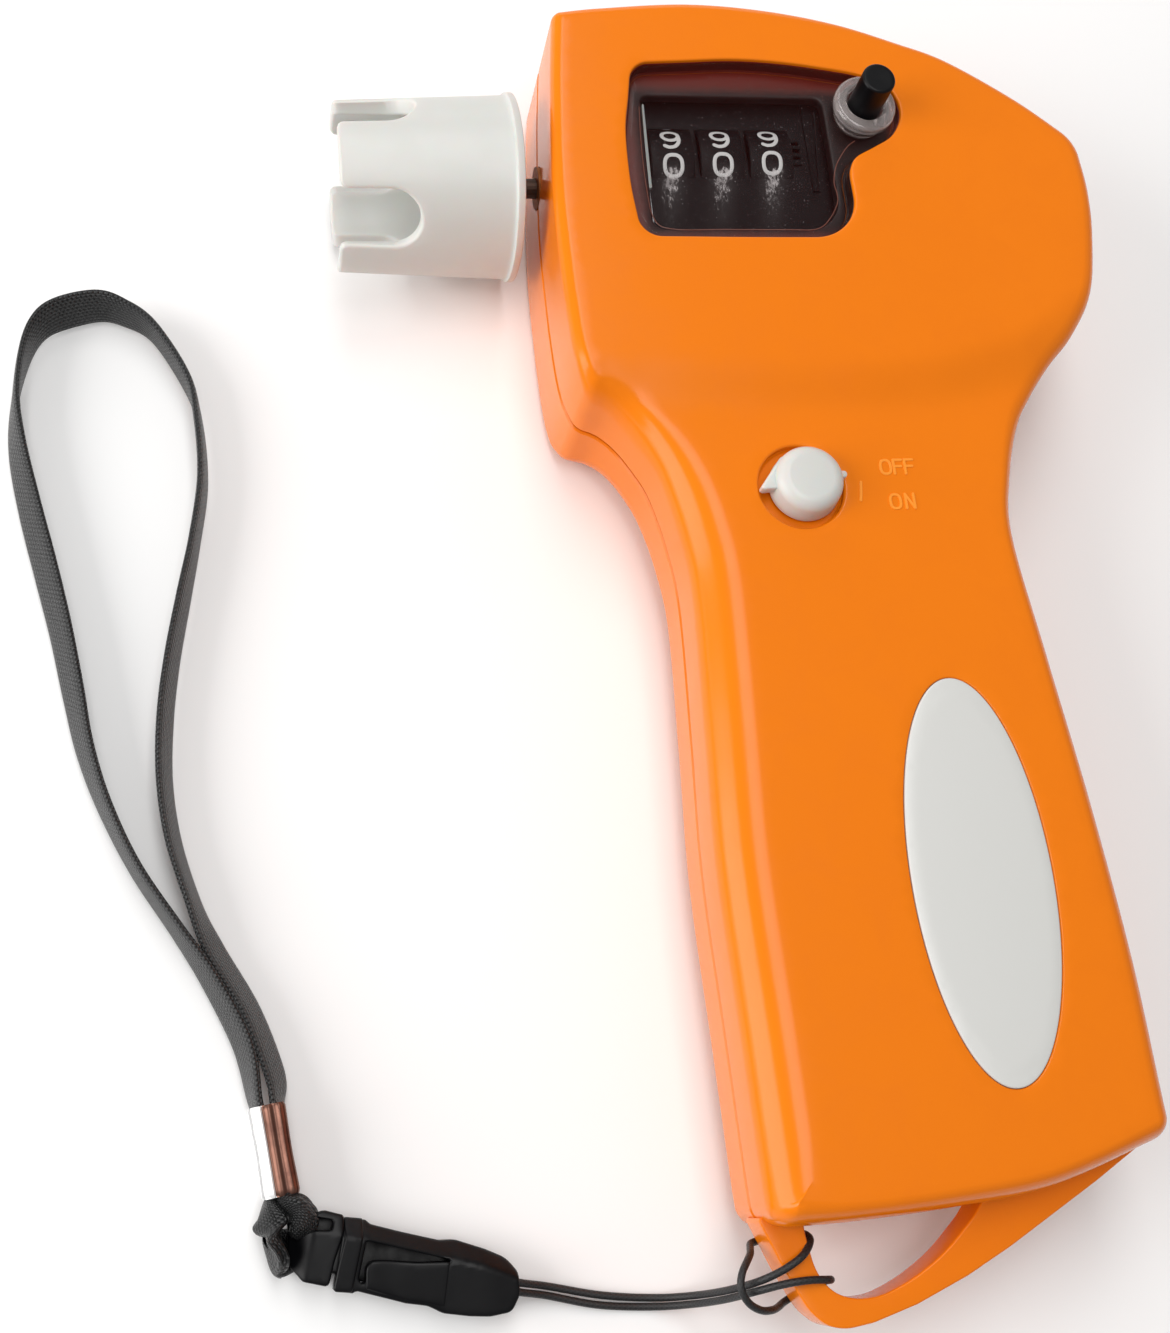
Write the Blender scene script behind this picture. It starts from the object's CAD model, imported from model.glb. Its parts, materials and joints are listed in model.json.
import json
import math

import bmesh
import bpy
import numpy as np
from mathutils import Matrix, Vector
from mathutils.geometry import delaunay_2d_cdt


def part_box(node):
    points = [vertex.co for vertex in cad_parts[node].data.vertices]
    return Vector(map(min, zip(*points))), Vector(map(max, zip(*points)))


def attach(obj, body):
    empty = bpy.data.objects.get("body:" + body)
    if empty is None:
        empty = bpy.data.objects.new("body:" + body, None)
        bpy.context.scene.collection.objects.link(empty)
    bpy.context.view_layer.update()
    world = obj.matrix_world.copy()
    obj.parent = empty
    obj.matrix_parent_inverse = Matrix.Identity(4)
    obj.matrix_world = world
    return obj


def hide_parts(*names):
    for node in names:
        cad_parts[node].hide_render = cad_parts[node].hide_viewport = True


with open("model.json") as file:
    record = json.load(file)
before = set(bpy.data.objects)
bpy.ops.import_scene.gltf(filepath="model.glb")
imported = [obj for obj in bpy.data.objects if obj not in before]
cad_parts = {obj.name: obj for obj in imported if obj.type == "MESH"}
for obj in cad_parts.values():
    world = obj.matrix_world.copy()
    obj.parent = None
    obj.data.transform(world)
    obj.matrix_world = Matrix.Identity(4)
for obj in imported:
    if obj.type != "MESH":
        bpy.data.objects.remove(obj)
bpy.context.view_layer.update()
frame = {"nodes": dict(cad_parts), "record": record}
scene = bpy.context.scene
nodes = frame["nodes"]

# Every length below is in millimetres from the cup's axis at the front of the head, as in the CAD.
mil = 0.001
cupLow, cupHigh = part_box("drive_cup")
datum = np.array([cupHigh[0] + 3.3 * mil, (cupLow[1] + cupHigh[1]) / 2, 0.0])
headThick = 23.0
gripThick = 19.6
wallThick = 2.0
gap = 0.3
seamZ = headThick / 2
gripRise = (headThick - gripThick) / 2
gripTopZ = headThick - gripRise
print("frame loaded")

cameraView = {
    "at": (-0.06107, -0.05898, 0.19170),
    "right": (0.9783, -0.1056, 0.1781),
    "up": (0.0483, 0.9528, 0.2997),
    "lens": 52.31,
    "sensor": 36.0,
}


def addCamera(view):
    right = Vector(view["right"]).normalized()
    back = right.cross(Vector(view["up"])).normalized()
    up = back.cross(right)
    data = bpy.data.cameras.new("view")
    data.sensor_fit = "HORIZONTAL"
    data.sensor_width = view["sensor"]
    data.lens = view["lens"]
    data.clip_start = 0.01
    data.clip_end = 10.0
    camera = bpy.data.objects.new("view", data)
    turn = Matrix((right, up, back)).transposed()
    camera.matrix_world = Matrix.Translation(Vector(view["at"])) @ turn.to_4x4()
    scene.collection.objects.link(camera)
    scene.camera = camera


addCamera(cameraView)


# Small helpers for arrays, curves and meshes.
def place(points):
    # millimetres in the CAD's own axes, to metres in the row frame
    return np.asarray(points, float) * mil + datum


def unit(rows):
    return rows / np.maximum(np.linalg.norm(rows, axis=-1, keepdims=True), 1e-12)


def smoothStep(t):
    t = np.clip(t, 0.0, 1.0)
    return t * t * (3 - 2 * t)


def throughPoints(points, count, power=0.5):
    # Catmull-Rom through all the points, each span given the same number of samples.
    # The knots are spaced by distance to the power, 0.5 for centripetal and 0 for uniform.
    p = np.asarray(points, float)
    ends = [2 * p[0] - p[1], 2 * p[-1] - p[-2]] if power else [p[0], p[-1]]
    p = np.vstack([ends[0], p, ends[1]])
    spans = len(p) - 3
    t = np.linspace(0, spans, count)
    k = np.minimum(t.astype(int), spans - 1)
    w = (t - k)[:, None]
    a, b, c, d = (p[k + i] for i in range(4))
    if not power:
        return 0.5 * (2 * b + (c - a) * w + (2 * a - 5 * b + 4 * c - d) * w**2
                      + (3 * b - a - 3 * c + d) * w**3)
    step = [np.maximum(np.linalg.norm(v - u, axis=1, keepdims=True) ** power, 1e-6)
            for u, v in ((a, b), (b, c), (c, d))]
    t1 = ((b - a) / step[0] - (c - a) / (step[0] + step[1]) + (c - b) / step[1]) * step[1]
    t2 = ((c - b) / step[1] - (d - b) / (step[1] + step[2]) + (d - c) / step[2]) * step[1]
    return b + t1 * w + (-3 * b + 3 * c - 2 * t1 - t2) * w**2 + (2 * b - 2 * c + t1 + t2) * w**3


def runLength(line):
    # how far along the line each of its points is
    return np.concatenate([[0], np.cumsum(np.linalg.norm(np.diff(line, axis=0), axis=1))])


def evenly(line, count, closed=False):
    # the same line, with its points an equal distance apart
    line = np.vstack([line, line[:1]]) if closed else np.asarray(line, float)
    along = runLength(line)
    at = np.linspace(0, along[-1], count + 1)[:-1] if closed else np.linspace(0, along[-1], count)
    return np.stack([np.interp(at, along, line[:, i]) for i in range(line.shape[1])], 1)


def lineLength(line):
    return float(np.linalg.norm(np.diff(line, axis=0), axis=1).sum())


def addPiece(name, shape, finish, body, slot=None, node=None, uv=None, angle=35.0):
    # One mesh object from points in millimetres, smooth except at edges sharper than the angle.
    # The node is the piece of the CAD that it stands for.
    points, faces = shape
    mesh = bpy.data.meshes.new(name)
    mesh.from_pydata(place(points).tolist(), [], [list(map(int, f)) for f in faces])
    if uv is not None:
        # one UV for each corner of each face
        layer = mesh.uv_layers.new(name="UVMap")
        layer.data.foreach_set("uv", np.asarray(uv, np.float32).ravel())
    mesh.validate()
    solid = bmesh.new()
    solid.from_mesh(mesh)
    bmesh.ops.recalc_face_normals(solid, faces=solid.faces)
    solid.to_mesh(mesh)
    solid.free()
    smoothExcept(mesh, angle)
    mesh.materials.append(finishes[finish])
    piece = bpy.data.objects.new(name, mesh)
    scene.collection.objects.link(piece)
    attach(piece, body)
    describe(piece, slot, node)
    return piece


def smoothExcept(mesh, angle):
    mesh.polygons.foreach_set("use_smooth", np.ones(len(mesh.polygons), bool))
    mesh.set_sharp_from_angle(angle=math.radians(angle))


def describe(piece, slot, node):
    if node:
        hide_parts(node)


def ringQuads(first, second, count):
    # the quads between two rings of vertices, each given by its first index
    i = np.arange(count)
    j = (i + 1) % count
    return np.stack([first + i, first + j, second + j, second + i], 1)


def gridQuads(rows, count, closedRows=False, start=0):
    # rows of rings of vertices, one after the other
    last = rows if closedRows else rows - 1
    return np.vstack([ringQuads(start + k * count, start + ((k + 1) % rows) * count, count)
                      for k in range(last)])


def gridUv(rows, count, along, across):
    # a UV for each corner of gridQuads' faces, so that the last quad of a ring runs on, not back
    i = np.arange(count)
    k = np.arange(rows - 1)[:, None]
    u0, u1 = along[k], along[k + 1]
    v0, v1 = across[i][None], across[i + 1][None]
    full = np.ones((rows - 1, count))
    ends = [(u0, v0), (u0, v1), (u1, v1), (u1, v0)]
    return np.stack([np.stack([u * full, v * full], -1) for u, v in ends], 2).reshape(-1, 2)


def tubeAlong(path, radius, sides):
    # rings of a circle carried along a path, each turned as little as possible from the last
    path = np.asarray(path, float)
    count = len(path)
    tangent = unit(np.gradient(path, axis=0))
    normal = np.zeros_like(path)
    first = np.cross(tangent[0], (0, 0, 1.0))
    normal[0] = unit(first if np.linalg.norm(first) > 1e-3 else np.cross(tangent[0], (1.0, 0, 0)))
    for k in range(1, count):
        normal[k] = unit(normal[k - 1] - tangent[k] * np.dot(normal[k - 1], tangent[k]))
    across = np.cross(tangent, normal)
    angle = np.linspace(0, 2 * np.pi, sides, endpoint=False)
    rings = path[:, None] + radius * (np.cos(angle)[None, :, None] * normal[:, None]
                                      + np.sin(angle)[None, :, None] * across[:, None])
    return rings.reshape(-1, 3), list(gridQuads(count, sides)) + endCaps(count, sides)


def endCaps(rows, count):
    # the first and the last ring of a grid, each as one face
    return [list(range(count))[::-1], list(range((rows - 1) * count, rows * count))]


print("camera and helpers ready")


def nodeGroup(name, given, outputs=("Color", "Roughness", "Height")):
    # Each input takes its kind from its first value: a number, a colour of four numbers, or a
    # vector, which has three or none.
    group = bpy.data.node_groups.new(name, "ShaderNodeTree")
    for label, value in given.items():
        kind = "Vector" if value is None else {1: "Float", 3: "Vector", 4: "Color"}[np.size(value)]
        socket = group.interface.new_socket(name=label, in_out="INPUT", socket_type="NodeSocket" + kind)
        if value is not None:
            socket.default_value = value
    for label in outputs:
        kind = "Color" if label == "Color" else "Float"
        group.interface.new_socket(name=label, in_out="OUTPUT", socket_type="NodeSocket" + kind)
    start = group.nodes.new("NodeGroupInput")
    end = group.nodes.new("NodeGroupOutput")
    return group, start.outputs, end.inputs


def fill(tree, socket, value):
    # a socket's value, or a link from another socket
    if isinstance(value, bpy.types.NodeSocket):
        tree.links.new(value, socket)
    else:
        socket.default_value = value


def addNode(tree, kind, values=None, **settings):
    node = tree.nodes.new(kind)
    for key, value in settings.items():
        setattr(node, key, value)
    for key, value in (values or {}).items():
        fill(tree, node.inputs[key], value)
    return node


def calc(tree, operation, a, b=0.0, c=0.0, clamp=False):
    node = addNode(tree, "ShaderNodeMath", operation=operation, use_clamp=clamp)
    for socket, value in zip(node.inputs, (a, b, c)):
        fill(tree, socket, value)
    return node.outputs[0]


def mixColor(tree, share, a, b):
    values = {"Factor": share, 6: a, 7: b}
    return addNode(tree, "ShaderNodeMix", values, data_type="RGBA").outputs[2]


def noise(tree, vector, scale, detail, **more):
    values = {"Vector": vector, "Scale": scale, "Detail": detail, **more}
    return addNode(tree, "ShaderNodeTexNoise", values).outputs["Fac"]


def remap(tree, value, fromLow, fromHigh, low=0.0, high=1.0):
    values = {"Value": value, "From Min": fromLow, "From Max": fromHigh, "To Min": low, "To Max": high}
    return addNode(tree, "ShaderNodeMapRange", values).outputs["Result"]


def feed(tree, sockets, **sources):
    # links or sets each of the sockets named
    for key, source in sources.items():
        fill(tree, sockets[key.replace("_", " ")], source)


def makeMouldedSkin():
    # Fine pitting from the mould, slow waves of sink, and faint handling marks.
    group, given, out = nodeGroup("mouldedSkin", {
        "Vector": None, "Base": (0.5, 0.5, 0.5, 1), "Shade": (0.4, 0.4, 0.4, 1), "Rough": 0.3,
        "Spread": 0.08, "Grain": 2600.0})
    grain = noise(group, given["Vector"], given["Grain"], 2.0, Roughness=0.55)
    slow = noise(group, given["Vector"], 38.0, 3.0)
    wipe = noise(group, given["Vector"], 210.0, 4.0, Roughness=0.62, Distortion=0.6)
    marks = remap(group, wipe, 0.42, 0.72)
    tone = calc(group, "MULTIPLY_ADD", slow, 0.5, calc(group, "MULTIPLY", marks, 0.25), clamp=True)
    color = mixColor(group, tone, given["Base"], given["Shade"])
    rough = calc(group, "MULTIPLY_ADD", marks, given["Spread"], given["Rough"])
    rough = calc(group, "MULTIPLY_ADD", grain, 0.04, rough)
    height = calc(group, "MULTIPLY_ADD", grain, 0.5, calc(group, "MULTIPLY", slow, 0.3))
    feed(group, out, Color=color, Roughness=rough, Height=height)
    return group


def makeBrushedFace():
    # Lines of brushing or turning along one axis, with small stains.
    group, given, out = nodeGroup("brushedFace", {
        "Vector": None, "Base": (0.6, 0.6, 0.6, 1), "Stain": (0.3, 0.3, 0.3, 1), "Rough": 0.25,
        "Stretch": (4000.0, 4000.0, 200.0)})
    drawn = addNode(group, "ShaderNodeVectorMath", {0: given["Vector"], 1: given["Stretch"]},
                    operation="MULTIPLY")
    lines = noise(group, drawn.outputs[0], 1.0, 3.0)
    stain = noise(group, given["Vector"], 320.0, 5.0, Roughness=0.6)
    patch = remap(group, stain, 0.5, 0.75, 0.0, 0.6)
    color = mixColor(group, patch, given["Base"], given["Stain"])
    rough = calc(group, "MULTIPLY_ADD", lines, 0.16, given["Rough"])
    rough = calc(group, "MULTIPLY_ADD", patch, 0.18, rough)
    feed(group, out, Color=color, Roughness=rough, Height=lines)
    return group


def wave(tree, value):
    # a hump for each whole step of the value
    return calc(tree, "ABSOLUTE", calc(tree, "SINE", calc(tree, "MULTIPLY", value, math.pi)))


def makeWebWeave():
    # Ribs across the web in two staggered rows of ends. UV runs along the web in picks, and
    # across in ends.
    group, given, out = nodeGroup("webWeave", {
        "UV": None, "Thread": (0.03, 0.03, 0.035, 1), "Hollow": (0.004, 0.004, 0.005, 1)})
    along, across, _ = addNode(group, "ShaderNodeSeparateXYZ", {0: given["UV"]}).outputs
    end = calc(group, "FLOOR", across)
    half = calc(group, "MULTIPLY", calc(group, "MODULO", end, 2.0), 0.5)
    crown = wave(group, calc(group, "ADD", along, half))
    side = wave(group, across)
    height = calc(group, "MULTIPLY", calc(group, "POWER", crown, 0.6), calc(group, "POWER", side, 0.5))
    fibre = noise(group, given["UV"], 9.0, 3.0)
    high = calc(group, "MULTIPLY_ADD", fibre, 0.25, calc(group, "MULTIPLY", height, 0.85))
    shade = calc(group, "POWER", height, 1.6, clamp=True)
    color = mixColor(group, shade, given["Hollow"], given["Thread"])
    rough = calc(group, "MULTIPLY_ADD", height, -0.14, 0.42)
    feed(group, out, Color=color, Roughness=rough, Height=high)
    return group


def makeCordBraid():
    # Strands crossing left and right round a cord. UV counts strands along it and round it.
    group, given, out = nodeGroup("cordBraid", {
        "UV": None, "Thread": (0.03, 0.03, 0.03, 1), "Hollow": (0.004, 0.004, 0.004, 1)})
    along, across, _ = addNode(group, "ShaderNodeSeparateXYZ", {0: given["UV"]}).outputs
    left = calc(group, "SINE", calc(group, "MULTIPLY", calc(group, "ADD", along, across), math.pi))
    right = calc(group, "SINE", calc(group, "MULTIPLY", calc(group, "SUBTRACT", along, across), math.pi))
    height = calc(group, "MAXIMUM", calc(group, "ABSOLUTE", left), calc(group, "ABSOLUTE", right))
    height = calc(group, "POWER", height, 2.2)
    color = mixColor(group, height, given["Hollow"], given["Thread"])
    rough = calc(group, "MULTIPLY_ADD", height, -0.12, 0.6)
    feed(group, out, Color=color, Roughness=rough, Height=height)
    return group


def makeDustyBlack():
    # Black with pale specks of dust, some large and some fine, denser in slow patches.
    group, given, out = nodeGroup("dustyBlack", {
        "Vector": None, "Base": (0.004, 0.004, 0.005, 1), "Dust": (0.42, 0.39, 0.40, 1), "Rough": 0.4,
        "Share": 1.0})
    total = None
    for scale, size in ((2000.0, 0.18), (5200.0, 0.24)):
        cells = addNode(group, "ShaderNodeTexVoronoi", {"Vector": given["Vector"], "Scale": scale})
        parts = addNode(group, "ShaderNodeSeparateColor", {0: cells.outputs["Color"]})
        chosen = calc(group, "GREATER_THAN", parts.outputs[0], 0.72)
        dot = remap(group, cells.outputs["Distance"], 0.0, size, 1.0, 0.0)
        speck = calc(group, "MULTIPLY", calc(group, "MULTIPLY", dot, chosen), parts.outputs[1])
        total = speck if total is None else calc(group, "MAXIMUM", total, speck)
    patch = noise(group, given["Vector"], 260.0, 4.0)
    dense = calc(group, "MULTIPLY", patch, calc(group, "MULTIPLY", given["Share"], 3.0))
    mask = calc(group, "MULTIPLY", total, dense, clamp=True)
    haze = calc(group, "MULTIPLY_ADD", patch, 0.02, mask, clamp=True)
    color = mixColor(group, haze, given["Base"], given["Dust"])
    rough = calc(group, "MULTIPLY_ADD", mask, 0.4, given["Rough"])
    feed(group, out, Color=color, Roughness=rough, Height=mask)
    return group


def startFinish(name, group, values, space="Object"):
    # a material whose colour and roughness come from an effect group
    finish = bpy.data.materials.new(name)
    finish.use_nodes = True
    tree = finish.node_tree
    shader = tree.nodes["Principled BSDF"]
    where = addNode(tree, "ShaderNodeTexCoord")
    effect = addNode(tree, "ShaderNodeGroup", node_tree=group)
    fill(tree, effect.inputs[0], where.outputs[space])
    feed(tree, effect.inputs, **values)
    feed(tree, shader.inputs, Base_Color=effect.outputs["Color"], Roughness=effect.outputs["Roughness"])
    return finish, tree, shader, where, effect


def makeFinish(name, group, values, bump=0.1, depth=0.02, space="Object", **sockets):
    # the same with a bump, and with other values of the shader
    finish, tree, shader, _, effect = startFinish(name, group, values, space)
    relief = addNode(tree, "ShaderNodeBump", {"Height": effect.outputs["Height"], "Strength": bump,
                                              "Distance": depth * mil})
    feed(tree, shader.inputs, Normal=relief.outputs["Normal"], **sockets)
    return finish


# name: colour, darker share, roughness, spread of roughness, bump, other values of the shader
mouldedFinishes = {
    "orangePlastic": ((0.82, 0.195, 0.0035), (0.77, 0.172, 0.0025), 0.16, 0.04, 0.07,
                      {"Specular_IOR_Level": 0.25}),
    "wordOrange": ((0.92, 0.30, 0.022), (0.88, 0.27, 0.016), 0.25, 0.04, 0.07, {}),
    "whitePlastic": ((0.60, 0.605, 0.58), (0.575, 0.58, 0.545), 0.34, 0.08, 0.15,
                     {"Subsurface_Weight": 0.25, "Subsurface_Scale": 0.002}),
    "badgePlastic": ((0.62, 0.62, 0.60), (0.60, 0.60, 0.575), 0.3, 0.05, 0.1, {}),
    "blackPlastic": ((0.0016, 0.0016, 0.0022), (0.0032, 0.0032, 0.004), 0.3, 0.2, 0.2,
                     {"Specular_IOR_Level": 0.2}),
    "digitInk": ((0.98, 0.97, 0.96), (0.90, 0.89, 0.88), 0.45, 0.1, 0.2, {}),
    "cellJacket": ((0.08, 0.16, 0.30), (0.06, 0.12, 0.24), 0.3, 0.1, 0.1, {}),
    "redLead": ((0.5, 0.02, 0.015), (0.42, 0.015, 0.012), 0.4, 0.1, 0.1, {}),
    "blackLead": ((0.015, 0.015, 0.016), (0.025, 0.024, 0.024), 0.42, 0.1, 0.1, {}),
    "rosyLine": ((0.32, 0.12, 0.085), (0.12, 0.035, 0.025), 0.25, 0.1, 0.1, {}),
}
# name: colour, stain, roughness, bump, metallic
metalFinishes = {
    "oiledSteel": ((0.055, 0.03, 0.02), (0.02, 0.01, 0.006), 0.4, 0.2, 0.7),
    "brownBrass": ((0.30, 0.10, 0.02), (0.12, 0.04, 0.01), 0.4, 0.2, 0.6),
    "brightSteel": ((0.62, 0.63, 0.65), (0.42, 0.41, 0.40), 0.18, 0.1, 1.0),
    "bushBrass": ((0.72, 0.50, 0.20), (0.40, 0.25, 0.10), 0.2, 0.1, 1.0),
    "nickelSkin": ((0.78, 0.75, 0.72), (0.55, 0.50, 0.47), 0.1, 0.12, 1.0),
    "crimpCopper": ((0.19, 0.095, 0.07), (0.06, 0.025, 0.022), 0.3, 0.12, 1.0),
    "crimpTin": ((0.93, 0.93, 0.93), (0.85, 0.84, 0.83), 0.5, 0.1, 0.8),
}
finishes = {}
mouldedSkin, brushedFace, dustyBlack = makeMouldedSkin(), makeBrushedFace(), makeDustyBlack()
for name, (base, shade, rough, spread, bump, more) in mouldedFinishes.items():
    finishes[name] = makeFinish(name, mouldedSkin, {"Base": (*base, 1), "Shade": (*shade, 1), "Rough": rough,
                                                    "Spread": spread}, bump, **more)
for name, (base, stain, rough, bump, metal) in metalFinishes.items():
    finishes[name] = makeFinish(name, brushedFace, {"Base": (*base, 1), "Stain": (*stain, 1), "Rough": rough},
                                bump, Metallic=metal)
finishes["blackWebbing"] = makeFinish("blackWebbing", makeWebWeave(), {
    "Thread": (0.009, 0.010, 0.011, 1), "Hollow": (0.001, 0.001, 0.0012, 1)}, bump=1.0, depth=0.2, space="UV",
    Sheen_Weight=0.0, Specular_IOR_Level=0.6)
finishes["blackCord"] = makeFinish("blackCord", makeCordBraid(), {
    "Thread": (0.014, 0.014, 0.015, 1), "Hollow": (0.003, 0.003, 0.003, 1)}, bump=0.5, depth=0.05, space="UV",
    Sheen_Weight=0.05, Sheen_Roughness=0.4)
finishes["counterBlack"] = makeFinish("counterBlack", dustyBlack, {}, bump=0.2, Specular_IOR_Level=0.15)


def makeSmokedLens():
    # Clear plastic with a dark red tint: what lies behind shows through at a share set by Alpha.
    finish, tree, shader, where, _ = startFinish("smokedLens", mouldedSkin, {
        "Base": (0.03, 0.003, 0.002, 1), "Shade": (0.02, 0.002, 0.0015, 1), "Rough": 0.04, "Spread": 0.06})
    edge = addNode(tree, "ShaderNodeLayerWeight", {"Blend": 0.25})
    clear = remap(tree, edge.outputs["Facing"], 0.0, 1.0, 0.08, 0.75)
    # the polished edge is clearer than the face: it is found where the surface turns away from up
    parts = addNode(tree, "ShaderNodeSeparateXYZ", {0: where.outputs["Normal"]})
    edged = remap(tree, parts.outputs[2], 0.97, 0.7, 0.2, 1.0)
    feed(tree, shader.inputs, Alpha=clear, Coat_Weight=edged, Coat_Roughness=0.03, Specular_IOR_Level=0.25)
    return finish


finishes["smokedLens"] = makeSmokedLens()
print("finishes ready")

hitchCord = {
    "route": [
        (-13.9, -126.55, 2.7), (-12.7, -126.9, 2.4), (-10.2, -127.5, 1.3), (-4, -129.2, 0.6),
        (2, -130.15, 0.6), (5.4, -130.2, 3.2),
        (8.2, -129.6, 9.5), (10.6, -128.7, 13.9), (12.6, -127.9, 14.8), (14.5, -126.9, 14.8),
        (15.9, -125.7, 13.5), (16.2, -125.1, 11.5), (15.6, -124.9, 9.3), (14.2, -124.9, 8.2),
        (12.3, -125.2, 8.1), (11.0, -125.4, 8.5), (10.5, -125.8, 9.7), (10.0, -126.3, 11.2),
        (9.2, -127.0, 12.4), (8.5, -127.8, 13.0), (8.1, -128.8, 13.2), (8.2, -129.9, 13.1),
        (8.9, -131.0, 12.7), (10.2, -131.8, 12.0), (11.6, -132.0, 11.0), (12.7, -131.9, 9.6),
        (13.7, -131.6, 8.4), (15.2, -131.0, 8.2), (16.8, -130.3, 8.6), (17.9, -129.9, 10.2),
        (17.9, -129.7, 12.4), (16.9, -129.5, 14.3), (14.6, -129.3, 14.9), (12.2, -129.4, 14.7),
        (10.0, -129.8, 13.2), (7.6, -130.6, 8.2), (5.0, -131.05, 3.0), (1.5, -131.0, 0.6),
        (-4.6, -130.1, 0.6), (-10.4, -128.4, 1.3), (-12.9, -127.8, 2.4), (-14.1, -127.45, 2.7)],
    "radius": 0.4,
    "steps": 700,
    "sides": 12,
    "strandsRound": 6,
    "strandLong": 0.6,
}


def makeHitchCord(d):
    # A circle carried along a spline through the route, with strands counted along and round it.
    path = evenly(throughPoints(d["route"], 4000), d["steps"])
    points, faces = tubeAlong(path, d["radius"], d["sides"])
    long = lineLength(path)
    along = np.linspace(0, long / d["strandLong"], d["steps"])
    across = np.arange(d["sides"] + 1) * d["strandsRound"] / d["sides"]
    uv = np.vstack([gridUv(d["steps"], d["sides"], along, across), np.zeros((2 * d["sides"], 2))])
    piece = addPiece("hitchCord", (points, faces), "blackCord", "winder", "black_cord", "hitch_cord", uv=uv)
    return piece, path, long


cordPiece, cordPath, cordLong = makeHitchCord(hitchCord)
print("hitch cord is", round(cordLong, 1), "mm long")


def insideLoop(points, loop):
    # even-odd rule: counts the loop's sides that a ray to the right of each point crosses
    x, y = points[:, :1], points[:, 1:]
    x0, y0 = loop[:, 0], loop[:, 1]
    x1, y1 = np.roll(x0, -1), np.roll(y0, -1)
    rise = np.where(np.abs(y1 - y0) < 1e-12, 1e-12, y1 - y0)
    return (((y0 > y) != (y1 > y)) & (x < (x1 - x0) * (y - y0) / rise + x0)).sum(1) % 2 == 1


def loopNormals(loop):
    # outward normals of a counterclockwise loop, mitred at its corners
    side = np.roll(loop, -1, 0) - loop
    ahead = unit(np.stack([side[:, 1], -side[:, 0]], 1))
    behind = np.roll(ahead, 1, 0)
    middle = unit(ahead + behind)
    return middle / np.clip((middle * ahead).sum(1), 0.5, 1.0)[:, None]


def closeUp(loop):
    return np.vstack([loop, loop[:1]])


def corners(x, y):
    # a rectangle's corners, counterclockwise from the low left one
    return [(x[0], y[0]), (x[1], y[0]), (x[1], y[1]), (x[0], y[1])]


def anticlockwise(loop):
    area = np.sum(loop[:, 0] * np.roll(loop[:, 1], -1) - np.roll(loop[:, 0], -1) * loop[:, 1])
    return loop if area > 0 else loop[::-1]


def roundCorners(points, radius, steps=5, closed=False):
    # the line with its corners cut by arcs; radius may be a number or one for each point
    p = np.asarray(points, float)
    radii = np.broadcast_to(np.asarray(radius, float), (len(p),))
    line = []
    for i in range(len(p)):
        if not closed and i in (0, len(p) - 1) or radii[i] <= 0:
            line.append(p[i:i + 1])
            continue
        back, on = p[i - 1] - p[i], p[(i + 1) % len(p)] - p[i]
        room = 0.48 * min(np.linalg.norm(back), np.linalg.norm(on))
        back, on = unit(back), unit(on)
        half = math.acos(float(np.clip(back @ on, -1, 1))) / 2
        if half > 1.5:
            line.append(p[i:i + 1])
            continue
        r = min(radii[i], room * math.tan(half))
        centre = p[i] + unit(back + on) * r / math.sin(half)
        a = p[i] + back * r / math.tan(half) - centre
        b = p[i] + on * r / math.tan(half) - centre
        t = np.linspace(0, 1, steps + 1)[:, None]
        line.append(centre + unit(a * (1 - t) + b * t) * r)
    return np.vstack(line)


def loopFrom(spots, radii, pitch):
    # a closed outline with rounded corners, its points about a pitch apart
    line = anticlockwise(roundCorners(spots, radii, 6, closed=True))
    return evenly(line, int(lineLength(closeUp(line)) / pitch), closed=True)


def ellipseLoop(centre, rx, ry, count, sharp=(1.0, 1.0)):
    # powers below one push the ellipse out toward a rectangle's corners
    angle = np.linspace(0, 2 * np.pi, count, endpoint=False)
    c, s = np.cos(angle), np.sin(angle)
    across, up = np.sign(c) * np.abs(c)**sharp[0], np.sign(s) * np.abs(s)**sharp[1]
    return np.stack([centre[0] + rx * across, centre[1] + ry * up], 1)


def loopSides(loops):
    # the two ends of every side, counted through all the loops
    sides, first = [], 0
    for loop in loops:
        i = np.arange(len(loop))
        sides.append(np.stack([first + i, first + (i + 1) % len(loop)], 1))
        first += len(loop)
    return np.vstack(sides).tolist()


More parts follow.
